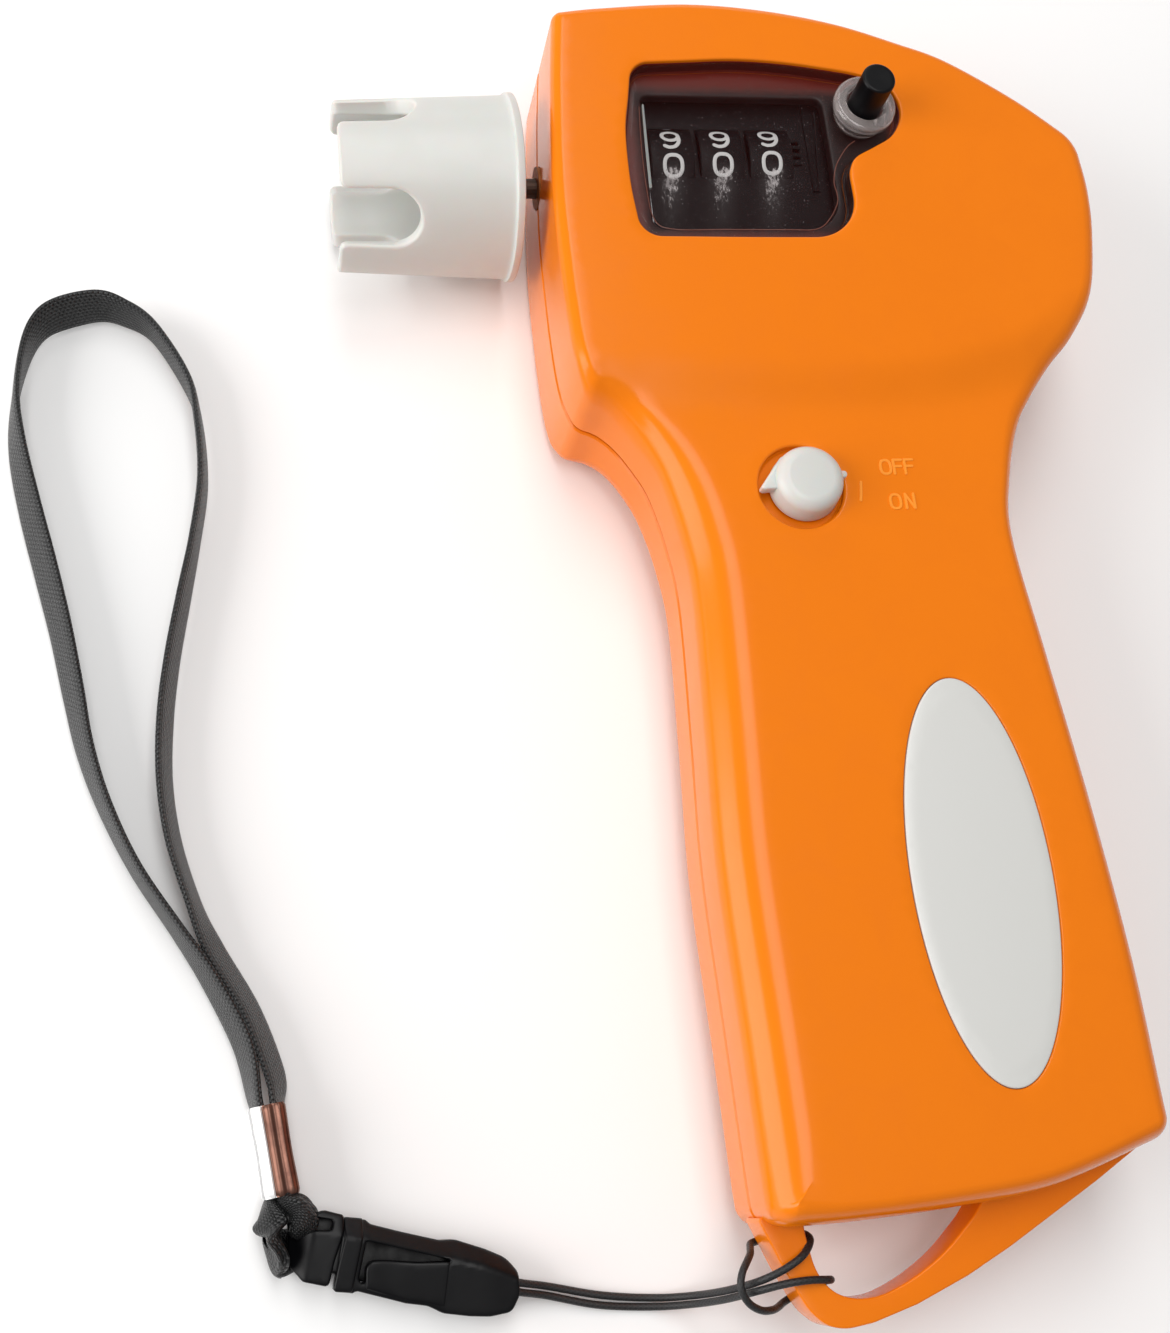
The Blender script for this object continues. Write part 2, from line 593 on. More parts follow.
def fillBetween(outer, holes, pitch):
    # Triangles between an outer loop and its holes, through a field of points in rows a pitch
    # apart. Returns the field's points, and triangles that count outer, holes, field in that order.
    loops = [outer] + list(holes)
    low, high = outer.min(0), outer.max(0)
    rowHigh = pitch * math.sqrt(3) / 2
    x, y = np.meshgrid(np.arange(low[0], high[0], pitch), np.arange(low[1], high[1], rowHigh))
    x = x + (np.arange(len(x)) % 2)[:, None] * pitch / 2
    field = np.stack([x.ravel(), y.ravel()], 1)
    keep = insideLoop(field, outer)
    for hole in holes:
        keep &= ~insideLoop(field, hole)
    field = field[keep]
    edge = np.vstack(loops)
    for part in np.array_split(np.arange(len(field)), max(len(field) // 2000, 1)):
        near = np.linalg.norm(field[part, None] - edge[None], axis=2).min(1)
        keep = near > 0.55 * pitch
        field[part[~keep]] = np.nan
    field = field[~np.isnan(field[:, 0])]
    points = np.vstack([edge, field])
    spots = [Vector(p) for p in points.tolist()]
    _, _, faces, origin, _, _ = delaunay_2d_cdt(spots, loopSides(loops), [], 0, 1e-7)
    if not all(origin):
        raise ValueError(f"loops cross, outer of {len(outer)} points")
    back = np.array([o[0] for o in origin])
    tri = back[np.array([f for f in faces if len(f) == 3])]
    middle = points[tri].mean(1)
    keep = insideLoop(middle, outer)
    for hole in holes:
        keep &= ~insideLoop(middle, hole)
    flat = np.abs(triangleTurns(points, tri)) < 1e-6
    tri = splitOver(points, tri[keep & ~flat], tri[flat])
    clockwise = triangleTurns(points, tri) < 0
    tri[clockwise] = tri[clockwise][:, ::-1]
    return field, tri


def triangleTurns(points, tri):
    # twice each triangle's area, negative where it runs clockwise
    a, b, c = points[tri[:, 0]], points[tri[:, 1]], points[tri[:, 2]]
    return (b[:, 0] - a[:, 0]) * (c[:, 1] - a[:, 1]) - (b[:, 1] - a[:, 1]) * (c[:, 0] - a[:, 0])


def splitOver(points, tri, flat):
    # Three points in a row make a triangle without area. The triangle over its long side is cut
    # in two at its middle point; with no triangle there it lies outside, and is dropped.
    tri, waiting, changed = [tuple(t) for t in tri.tolist()], flat.tolist(), True
    while waiting and changed:
        changed, left = False, []
        for item in waiting:
            sides = [(item[i], item[i - 1], item[i - 2]) for i in range(3)]
            a, c, b = max(sides, key=lambda s: np.linalg.norm(points[s[0]] - points[s[1]]))
            over = next((t for t in tri if a in t and c in t), None)
            if over is None:
                left.append(item)
                continue
            peak = next(i for i in over if i not in (a, c))
            tri.remove(over)
            tri += [(a, b, peak), (b, c, peak)]
            changed = True
        waiting = left
    return np.array(tri)


class MeshParts:
    # collects rings and triangles into one list of points and faces
    def __init__(self):
        self.points, self.faces, self.count = [], [], 0

    def add(self, points):
        self.points.append(np.asarray(points, float))
        first = self.count
        self.count += len(points)
        return first

    def quads(self, first, second, count, flip=False):
        self.addFaces(ringQuads(first, second, count), flip)

    def addFaces(self, faces, flip=False):
        self.faces.append(faces[:, ::-1] if flip else faces)

    def done(self):
        return np.vstack(self.points), [f for block in self.faces for f in block.tolist()]


def crosses(loops):
    # whether the loops cut themselves or each other
    spots = [Vector(p) for p in np.vstack(loops).tolist()]
    origin = delaunay_2d_cdt(spots, loopSides(loops), [], 0, 1e-7)[3]
    return any(len(o) != 1 for o in origin)


def joined(shapes):
    # several lots of points and faces as one
    parts, flat = MeshParts(), []
    for points, faces in shapes:
        first = parts.add(points)
        flat += [[first + int(i) for i in f] for f in faces]
    return np.vstack(parts.points), flat


def plateParts(outer, holes, low, high, lip, pitch, lipSteps=4, bend=None, lipLow=None, holeLip=None):
    # A flat plate with rounded edges: from each loop the faces start a lip further in, and the
    # height between follows a quarter circle. bend may move the finished points.
    parts = MeshParts()
    loops = [(np.asarray(outer, float), 1.0)] + [(np.asarray(h, float), -1.0) for h in holes]
    lipLow = lip if lipLow is None else lipLow
    holeLip = lip if holeLip is None else holeLip
    lastRings = {}
    for side, lipDeep in ((1, lip), (-1, lipLow)):
        last = []
        # a lip too deep for a tight corner is made shallower
        while crosses([loop - loopNormals(loop) * sign * (lipDeep if sign > 0 else min(lipDeep, holeLip))
                       for loop, sign in loops]) and lipDeep > 0.01:
            lipDeep *= 0.75
        for loop, sign in loops:
            depth = min(lipDeep, holeLip) if sign < 0 else lipDeep
            normal = loopNormals(loop) * sign
            rings = []
            for k in range(lipSteps + 1):
                angle = k / lipSteps * math.pi / 2
                spot = loop - normal * depth * (1 - math.cos(angle))
                drop = depth * (1 - math.sin(angle))
                z = high - drop if side > 0 else low + drop
                rings.append(parts.add(np.column_stack([spot, np.full(len(loop), z)])))
            for a, b in zip(rings, rings[1:]):
                parts.quads(a, b, len(loop), flip=(side * sign < 0))
            last.append((rings, spot, len(loop)))
        lastRings[side] = last
        field, tri = fillBetween(last[0][1], [item[1] for item in last[1:]], pitch)
        z = high if side > 0 else low
        start = parts.add(np.column_stack([field, np.full(len(field), z)]))
        index = np.concatenate([np.arange(n) + rings[-1] for rings, _, n in last]
                               + [np.arange(len(field)) + start])
        parts.addFaces(index[tri], flip=side < 0)
    for (up, _, n), (down, _, _), (_, sign) in zip(lastRings[1], lastRings[-1], loops):
        parts.quads(down[0], up[0], n, flip=sign < 0)
    points, faces = parts.done()
    return (bend(points) if bend else points), faces


shells = {
    # counterclockwise: runs through points, and corners with a radius; each with the inset of
    # the face's rounding there, which a run may change along its length
    "outline": [
        ("run", [(59.8, 6.8), (51.7, 12.1), (45.5, 14.6), (37.6, 17.2), (28.3, 18.9), (18.5, 19.45),
                 (7.9, 18.5)], 1.6, 1.5),
        ("corner", (1.9, 17.6), 1.3, 1.4),
        ("run", [(0.7, 7.1), (-0.35, -6), (-0.5, -16.8), (-0.3, -25), (0.15, -29.2)], 1.3, 1.5),
        ("corner", (1.1, -32.5), 2.4, 1.5),
        ("run", [(3.7, -33.7), (5.5, -35.4), (7.3, -38.1), (9.1, -41.9), (10.6, -48.8), (11.2, -56.1),
                 (10.6, -71.4), (9.9, -86.8), (10.2, -105.2), (10.4, -118)], 2.2, 4.6, 5, 5, 5, 5, 5, 5, 5),
        ("corner", (10.6, -123.8), 2.4, 3.4),
        ("run", [(18.9, -124.1), (29.7, -123.9), (41.1, -123)], 2.0, 2.0),
        ("corner", (55.4, -119.1), 2.6, 2.2),
        ("run", [(55.0, -101), (53.6, -82.9), (51.8, -66.2), (50.3, -51.3), (51.4, -43.7),
                 (53.1, -37.3), (55.5, -33.4), (58.6, -29.5), (61.9, -26.0), (65.1, -20.7),
                 (67.0, -12.6), (67.6, -6.6)], 2.6, 1.8),
        ("corner", (67.3, 0.6), 5.5, 1.8),
    ],
    "pitch": 0.9,
    "headRound": 1.6,
    "gripRound": 4.2,
    "roundChange": (-46.0, 11.0),
    "chinRound": ((5.0, -37.0), 3.2, 5.0),
    "slopeLow": [(-3, -33.6), (1.2, -33.8), (8.1, -34.9), (20.9, -35.8), (35.5, -36), (45.6, -35.3),
                 (52.2, -34), (60, -31.5), (72, -27)],
    "slopeHigh": [(-3, -29.0), (8, -28.6), (14.1, -28.9), (32.7, -29.7), (43.1, -28.9), (54.6, -25.8),
                  (59.8, -22.6), (63.6, -19.7), (72, -12.8)],
    "seamGap": 0.26,
    "seamBevel": 0.22,
    "roundSteps": 10,
    # how far apart the fill's points lie: on the faces, the inner faces and the sunk floors
    "fieldPitch": (1.1, 3.0, 2.5),
    "cutAngle": 32.0,
    "ledge": 1.1,
    "lensRoom": 0.08,
    # radius and reach of the holes for the shaft and for the screws
    "shaftHole": (2.7, 2.5),
    "screwHole": (2.5, 4.9),
}


def sampleOutline(pieces, pitch):
    # Corners become arcs between the ends of their neighbours, and runs become splines between
    # the arcs' ends. Each sample keeps its direction out, its rounding, and its arc's own values.
    count = len(pieces)
    arcs = {}
    for i, piece in enumerate(pieces):
        if piece[0] != "corner":
            continue
        at, radius = np.array(piece[1], float), piece[2]
        back = unit(np.array(pieces[i - 1][1][-1], float) - at)
        on = unit(np.array(pieces[(i + 1) % count][1][0], float) - at)
        half = math.acos(float(np.clip(back @ on, -1, 1))) / 2
        middle = unit(back + on)
        arcs[i] = {"radius": radius, "middle": middle, "sine": math.sin(half),
                   "centre": at + middle * radius / math.sin(half),
                   "start": at + back * radius / math.tan(half),
                   "end": at + on * radius / math.tan(half)}
    rows = []
    for i, piece in enumerate(pieces):
        if piece[0] == "corner":
            arc = arcs[i]
            first = math.atan2(*(arc["start"] - arc["centre"])[::-1])
            sweep = (math.atan2(*(arc["end"] - arc["centre"])[::-1]) - first) % (2 * math.pi)
            angle = first + sweep * np.linspace(0, 1, max(int(sweep * arc["radius"] / pitch * 2), 6) + 1)
            out = np.stack([np.cos(angle), np.sin(angle)], 1)
            own = [piece[3], *arc["centre"], *arc["middle"], arc["sine"], arc["radius"]]
            spots = arc["centre"] + out * arc["radius"]
            rows.append(np.column_stack([spots, out, np.tile(own, (len(angle), 1))]))
        else:
            before, after = arcs[(i - 1) % count]["end"], arcs[(i + 1) % count]["start"]
            through = [before, *piece[1], after]
            line = throughPoints(through, 60 * len(through), power=0)
            line = evenly(line, max(int(lineLength(line) / pitch), 3))
            tangent = unit(np.gradient(line, axis=0))
            out = np.stack([tangent[:, 1], -tangent[:, 0]], 1)[1:-1]
            n = len(out)
            edge = np.interp(np.linspace(0, 1, n), np.linspace(0, 1, len(piece) - 2), piece[2:])
            rows.append(np.column_stack([line[1:-1], out, edge, np.zeros((n, 5)), np.full(n, -1.0)]))
    table = np.vstack(rows)
    # the rounding's inset changes smoothly from piece to piece
    for _ in range(30):
        table[:, 4] = (np.roll(table[:, 4], 1) + 2 * table[:, 4] + np.roll(table[:, 4], -1)) / 4
    return table


def insetOutline(table, inset):
    # Each sample moved in. A corner closes on its bisector once the inset has used up its radius.
    inset = np.broadcast_to(inset, (len(table),))[:, None]
    point, out = table[:, :2], table[:, 2:4]
    centre, middle, sine, radius = table[:, 5:7], table[:, 7:9], table[:, 9:10], table[:, 10:11]
    left = np.maximum(radius - inset, 0.1)
    shift = (inset - radius + left) / np.where(radius > 0, sine, 1.0)
    return np.where(radius > 0, centre + middle * shift + out * left, point - out * inset)


def faceRise(spots, d):
    # height of the face above the seam: the grip's, then a smooth slope up to the head's
    low = np.interp(spots[:, 0], *np.array(d["slopeLow"], float).T)
    high = np.interp(spots[:, 0], *np.array(d["slopeHigh"], float).T)
    share = smoothStep((spots[:, 1] - low) / (high - low))
    return gripThick / 2 + share * (headThick - gripThick) / 2


def roundHigh(spots, d):
    # height of the edge's rounding: the grip's is taller than the head's
    start, over = d["roundChange"]
    share = smoothStep((spots[:, 1] - start) / over)
    high = d["gripRound"] + share * (d["headRound"] - d["gripRound"])
    # and it falls furthest at the chin, in a bell round it
    at, deeper, reach = d["chinRound"]
    away = np.linalg.norm(spots[:, :2] - np.array(at), axis=1) / reach
    return high + deeper * np.exp(-away ** 2)


def shellParts(side, holes, blind, d):
    # Upright from the seam, a quarter ellipse to the face, the face with its holes, then the same
    # a wall further in. A hole is (loop, profile): offsets into the plastic, and drops below the
    # face, the last at the inner face. A blind one ends in a floor.
    parts = MeshParts()
    table = sampleOutline(d["outline"], d["pitch"])
    n = len(table)
    edge = table[:, 4]

    def upright(spots, rise):
        return np.column_stack([spots, seamZ + side * rise])

    def skin(inset, wall, steps, flip):
        rings = []
        outer = insetOutline(table, inset + (d["seamBevel"] if not wall else 0.0))
        rings.append(parts.add(upright(outer, np.full(n, d["seamGap"]))))
        if not wall:
            spots = insetOutline(table, 0.0)
            rings.append(parts.add(upright(spots, np.full(n, d["seamGap"] + d["seamBevel"]))))
        for k in range(steps + 1):
            angle = k / steps * math.pi / 2 if steps else math.pi / 2
            spots = insetOutline(table, inset + (edge * (1 - math.cos(angle)) if not wall else 0.0))
            rise = faceRise(spots, d) - wall - roundHigh(spots, d) * (1 - math.sin(angle))
            rings.append(parts.add(upright(spots, rise)))
        for a, b in zip(rings, rings[1:]):
            parts.quads(a, b, n, flip=flip)
        return rings, spots

    facePitch, innerPitch, floorPitch = d["fieldPitch"]
    for wall in (0.0, wallThick):
        outside = wall == 0.0
        flip = (side < 0) == outside
        rings, spots = skin(wall, wall, d["roundSteps"] if outside else 0, flip)
        loops = []
        cuts = list(holes) + (list(blind) if outside else [])
        for cut in cuts:
            loop, profile = cut["loop"], cut["profile"]
            normal = loopNormals(loop)
            if outside:
                cut["rings"] = []
                for offset, drop in profile:
                    ring = loop + normal * offset
                    rise = faceRise(ring, d) - drop
                    cut["rings"].append((parts.add(upright(ring, rise)), ring))
                for (a, _), (b, _) in zip(cut["rings"], cut["rings"][1:]):
                    parts.quads(a, b, len(loop), flip=flip)
                loops.append((cut["rings"][0][1], cut["rings"][0][0]))
            else:
                loops.append((cut["rings"][-1][1], cut["rings"][-1][0]))
        field, tri = fillBetween(spots, [loop for loop, _ in loops], facePitch if outside else innerPitch)
        start = parts.add(upright(field, faceRise(field, d) - wall))
        index = np.concatenate([np.arange(n) + rings[-1]]
                               + [np.arange(len(loop)) + first for loop, first in loops]
                               + [np.arange(len(field)) + start])
        parts.addFaces(index[tri], flip=flip)
        if outside:
            outerFirst = rings[0]
            for cut in blind:
                first, ring = cut["rings"][-1]
                field, tri = fillBetween(ring, [], floorPitch)
                floor = faceRise(ring, d).mean() - cut["profile"][-1][1]
                start = parts.add(upright(field, np.full(len(field), floor)))
                index = np.concatenate([np.arange(len(ring)) + first, np.arange(len(field)) + start])
                parts.addFaces(index[tri], flip=flip)
        else:
            parts.quads(rings[0], outerFirst, n, flip=flip)
    return parts.done()


def lipProfile(lip, steps, *rest):
    # a quarter circle over the hole's rim, then the given stops
    angle = np.linspace(math.pi / 2, 0, steps + 1)
    rim = [(lip * (1 - math.cos(a)), lip * (1 - math.sin(a))) for a in angle]
    return rim + list(rest)


def carve(piece, operation, tools):
    # an exact boolean with loose tool objects, which are then removed
    for tool in tools:
        change = piece.modifiers.new("carve", "BOOLEAN")
        change.operation, change.object, change.solver = operation, tool, "EXACT"
        change.use_hole_tolerant = False
        bpy.context.view_layer.update()
        state = bpy.context.evaluated_depsgraph_get()
        solid = bpy.data.meshes.new_from_object(piece.evaluated_get(state))
        piece.modifiers.clear()
        piece.data = solid
    for tool in tools:
        bpy.data.objects.remove(tool)
    # what the cuts leave open by rounding is joined and filled
    snap, mostSides = 0.002 * mil, 8
    rounded = bmesh.new()
    rounded.from_mesh(piece.data)
    bmesh.ops.remove_doubles(rounded, verts=rounded.verts, dist=snap)
    openEdges = [edge for edge in rounded.edges if edge.is_boundary]
    bmesh.ops.holes_fill(rounded, edges=openEdges, sides=mostSides)
    rounded.to_mesh(piece.data)
    rounded.free()
    smoothExcept(piece.data, shells["cutAngle"])


def toolFrom(points, faces):
    mesh = bpy.data.meshes.new("tool")
    mesh.from_pydata(place(points).tolist(), [], faces)
    mesh.materials.append(finishes["orangePlastic"])
    tool = bpy.data.objects.new("tool", mesh)
    scene.collection.objects.link(tool)
    return tool


def rodTool(axis, centre, radius, start, end, sides=64):
    angle = np.linspace(0, 2 * np.pi, sides, endpoint=False)
    a, b = centre[0] + radius * np.cos(angle), centre[1] + radius * np.sin(angle)
    rings = []
    for s in (start, end):
        along = np.full(sides, float(s))
        rings.append(np.column_stack([along, a, b] if axis == "x" else [a, b, along]))
    return toolFrom(np.vstack(rings), ringQuads(0, sides, sides).tolist() + endCaps(2, sides))


def boxTool(x, y, z):
    points = [(a, b, c) for c in z for b in y for a in x]
    faces = [(0, 2, 3, 1), (4, 5, 7, 6), (0, 1, 5, 4), (2, 6, 7, 3), (0, 4, 6, 2), (1, 3, 7, 5)]
    return toolFrom(points, faces)


lensData = {
    "outline": [
        ("run", [(36.15, -6.4), (36.15, -5.2), (36.35, -4.1), (37.3, -2.5), (39.9, -1.0), (42.4, 0.6),
                 (43.9, 3.2), (43.8, 5.8), (42.4, 8), (39.6, 9.1), (36, 9.8), (30, 10.6), (23.7, 10.9),
                 (17, 10.5)], 0, 0),
        ("corner", (10.8, 10.1), 2.8, 0),
        ("run", [(9.9, 5.1), (9.1, 0.6), (8.9, -6)], 0, 0),
        ("corner", (9.4, -13.4), 2.6, 0),
        ("run", [(22, -13.5)], 0, 0),
        ("corner", (36.2, -13.5), 5.6, 0),
    ],
    "topZ": 22.75, "lowZ": 20.9, "lip": 0.6,
    "collar": {"at": (39.4, 4.5), "outR": 3.9, "boreR": 2.4, "holeR": 3.2, "topZ": 23.9},
}
knobData = {"at": (24.6, -44.8), "dishR": 5.05, "holeR": 2.3}
badgeData = {"at": (38.2, -90.6), "rx": 8.1, "ry": 22.3, "room": 0.06}
screwSpots = [(5.9, -28.8), (48.7, 8.2), (61.2, -14), (46.4, -47.4), (15.3, -111.5), (51.3, -109.3)]
doorData = {"x": (18.7, 47.9), "topY": -70.4, "deep": 2.1, "footY": -125.6}
bailRoots = {"left": (13.2, 15.4), "right": (35.2, 38.0), "z": (8.9, 14.1), "y": (-124.6, -121.4)}

lensLoop = sampleOutline(lensData["outline"], 0.45)[:, :2]
dishLoop = ellipseLoop(knobData["at"], knobData["dishR"], knobData["dishR"], 96)
badgeLoop = ellipseLoop(badgeData["at"], badgeData["rx"] + badgeData["room"],
                        badgeData["ry"] + badgeData["room"], 160)


def makeShells(d):
    ledge, inward = d["ledge"], knobData["holeR"] - knobData["dishR"]
    windowCut = {"loop": lensLoop + loopNormals(lensLoop) * d["lensRoom"],
                 "profile": lipProfile(0.25, 4, (0, 2.2), (-ledge, 2.25), (-ledge, wallThick + 0.6))}
    dishCut = {"loop": dishLoop, "profile": lipProfile(0.35, 4, (0, 0.95), (-0.25, 1.2), (inward, 1.2),
                                                       (inward, 2.0))}
    badgeCut = {"loop": badgeLoop, "profile": lipProfile(0.2, 3, (0, 1.0))}
    front = addPiece("frontShell", shellParts(1, [windowCut, dishCut], [badgeCut], d), "orangePlastic",
                     "winder")
    rear = addPiece("rearShell", shellParts(-1, [], [], d), "orangePlastic", "winder")
    print("shell skins made")
    x, deep = doorData["x"], gripRise + doorData["deep"]
    door = bpy.data.objects.new("batteryDoor", rear.data.copy())
    scene.collection.objects.link(door)
    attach(door, "door")
    y = (doorData["footY"], doorData["topY"])
    carve(door, "INTERSECT", [boxTool(x, y, (-1, deep))])
    rootY = (bailRoots["y"][0] - 1, bailRoots["y"][1])
    rootZ = (bailRoots["z"][0] - gap, bailRoots["z"][1] + gap)
    (shaftR, shaftReach), (screwR, screwReach) = d["shaftHole"], d["screwHole"]
    for shell in (front, rear):
        tools = [rodTool("x", (0, seamZ), shaftR, -2, shaftReach)]
        for root in ("left", "right"):
            a, b = bailRoots[root]
            tools.append(boxTool((a - gap, b + gap), rootY, rootZ))
        if shell is rear:
            tools.append(boxTool((x[0] - gap, x[1] + gap), (y[0], y[1] + gap), (-1, deep + gap)))
            tools += [rodTool("z", spot, screwR, -1, screwReach) for spot in screwSpots]
        carve(shell, "DIFFERENCE", tools)
    for piece, node in ((front, "housing_front"), (rear, "housing_rear"), (door, "battery_door")):
        describe(piece, "orange_plastic", node)
    print("shells cut and door taken out")


makeShells(shells)

driveCup = {
    "openX": -24.8, "baseX": -4.3, "backX": -3.3, "openR": 10.0, "baseR": 10.9, "flangeR": 11.25,
    "boreR": 8.4, "floorX": -8.0, "slots": 4, "firstSlot": math.radians(54), "slotWide": 7.0,
    "slotLong": 9.4, "slotCorner": 0.8, "lip": 0.4, "shaftR": 1.3, "shaftX": -7.7, "pitch": 0.45,
    "sides": 112, "rimCount": 26, "floorRound": 0.9, "flatReach": 14.0, "fieldPitch": 1.5,
}


def makeDriveCup(d):
    # The wall is filled as a flat ring, its rim outermost, and then bent round the axis. A point
    # stands at an angle from +Z toward -Y, a place along x, and a radius.
    half, corner, openX = d["slotWide"] / 2, d["slotCorner"], d["openX"]
    endX = openX + d["slotLong"] - half
    bend = np.linspace(0, math.pi / 2, 6)
    left = np.stack([-half - corner + corner * np.sin(bend), openX + corner - corner * np.cos(bend)], 1)
    arc = np.linspace(0, math.pi, 30)
    bottom = np.stack([-half * np.cos(arc), endX + half * np.sin(arc)], 1)
    right = left[::-1] * (-1, 1)
    slot = np.vstack([left, bottom, right])
    slot = evenly(slot, int(lineLength(slot) / d["pitch"]))
    step, rimCount = 2 * math.pi / d["slots"], d["rimCount"]
    baseX, backX, flangeR, farReach = d["baseX"], d["backX"], d["flangeR"], d["flatReach"] + d["baseX"]

    def rimPath(radius):
        angles, along = [], []
        reach = np.arcsin(slot[:, 0] / radius)
        for k in range(d["slots"]):
            middle = d["firstSlot"] + k * step
            rimFrom, rimTo = middle + reach[-1], middle + step + reach[0]
            angles += [middle + reach, np.linspace(rimFrom, rimTo, rimCount)[1:-1]]
            along += [slot[:, 1], np.full(rimCount - 2, openX)]
        return np.concatenate(angles), np.concatenate(along)

    def insetPath(radius, depth):
        angle, x = rimPath(radius)
        turn = (np.roll(angle, -1) - np.roll(angle, 1) + math.pi) % (2 * math.pi) - math.pi
        normal = unit(np.stack([np.roll(x, -1) - np.roll(x, 1), -radius * turn], 1))
        return angle - normal[:, 0] * depth / radius, x - normal[:, 1] * depth

    def solidAt(angle, x, radius):
        return np.column_stack([x, -radius * np.sin(angle), radius * np.cos(angle) + seamZ])

    def outerR(x):
        return np.interp(x, (openX, baseX), (d["openR"], d["baseR"]))

    def flat(angle, x):
        reach = farReach - x
        return np.stack([reach * np.cos(angle), reach * np.sin(angle)], 1)

    parts = MeshParts()
    ringAngle = np.linspace(0, 2 * math.pi, d["sides"], endpoint=False)
    wallRings = []
    for outside in (True, False):
        rings = []
        for a in np.linspace(0, math.pi / 2, 5):
            angle, x = insetPath(d["openR"] if outside else d["boreR"], d["lip"] * (1 - math.cos(a)))
            rest = d["lip"] * (1 - math.sin(a))
            radius = outerR(x) - rest if outside else d["boreR"] + rest
            rings.append(parts.add(solidAt(angle, x, radius)))
        for a, b in zip(rings, rings[1:]):
            parts.quads(a, b, len(x), flip=not outside)
        wallRings.append(rings[0])
        # the turned rest: outside it runs on to the flange and the back, inside to the floor
        if outside:
            profile = [(baseX - 0.5, outerR(baseX - 0.5)), (baseX - 0.15, outerR(baseX) + 0.02),
                       (baseX, d["baseR"] + 0.12), (baseX + 0.05, flangeR - 0.1), (baseX + 0.15, flangeR),
                       (backX - 0.2, flangeR), (backX - 0.06, flangeR - 0.06), (backX, flangeR - 0.2),
                       (backX, 6.0), (backX, 3.2), (backX - 0.4, 3.0), (backX - 0.4, 1.5),
                       (backX - 0.5, d["shaftR"]), (d["shaftX"], d["shaftR"])]
        else:
            curve = d["floorRound"]
            profile = [(d["floorX"] - curve + curve * math.sin(b), d["boreR"] - curve + curve * math.cos(b))
                       for b in bend] + [(d["floorX"], 4.0), (d["floorX"] - 0.02, 1.0)]
        turns = [parts.add(solidAt(ringAngle, np.full(d["sides"], px), pr)) for px, pr in profile]
        for a, b in zip(turns, turns[1:]):
            parts.quads(a, b, d["sides"], flip=outside)
        loop, hole = flat(angle, x), flat(ringAngle, np.full(d["sides"], profile[0][0]))
        field, tri = fillBetween(loop, [hole], d["fieldPitch"])
        fieldAngle = np.arctan2(field[:, 1], field[:, 0])
        fieldX = farReach - np.linalg.norm(field, axis=1)
        start = parts.add(solidAt(fieldAngle, fieldX, outerR(fieldX) if outside else d["boreR"]))
        index = np.concatenate([np.arange(len(loop)) + rings[-1], np.arange(len(hole)) + turns[0],
                                np.arange(len(field)) + start])
        parts.addFaces(index[tri], flip=outside)
        parts.addFaces(np.arange(d["sides"])[None] + turns[-1], flip=outside)
    parts.quads(wallRings[0], wallRings[1], len(rimPath(1e3)[0]))
    addPiece("driveCup", parts.done(), "whitePlastic", "output", "white_plastic", "drive_cup", angle=40)


makeDriveCup(driveCup)
print("drive cup made")


def turned(axis, centre, profile, sides=64):
    # A profile of (radius, along) turned round an axis. A zero radius at an end is a single pole,
    # and a profile that comes back to its start is closed.
    parts = MeshParts()
    profile = np.asarray(profile, float)
    closed = np.allclose(profile[0], profile[-1])
    if closed:
        profile = profile[:-1]
    angle = np.linspace(0, 2 * np.pi, sides, endpoint=False)

    def at(a, b, s):
        along = np.full(len(a), s)
        columns = {"x": (along, a, b), "y": (a, along, b), "z": (a, b, along)}[axis]
        return np.column_stack(columns)

    rings = []
    for r, s in profile:
        pole = r < 1e-6
        a = np.array([0.0]) if pole else r * np.cos(angle)
        b = np.array([0.0]) if pole else r * np.sin(angle)
        rings.append((parts.add(at(a + centre[0], b + centre[1], s)), pole))
    pairs = list(zip(rings, rings[1:])) + ([(rings[-1], rings[0])] if closed else [])
    i = np.arange(sides)
    j = (i + 1) % sides
    for (a, pa), (b, pb) in pairs:
        if pa:
            parts.faces.append(np.stack([np.full(sides, a), b + i, b + j], 1))
        elif pb:
            parts.faces.append(np.stack([a + i, a + j, np.full(sides, b)], 1))
        else:
            parts.quads(a, b, sides)
    return parts.done()


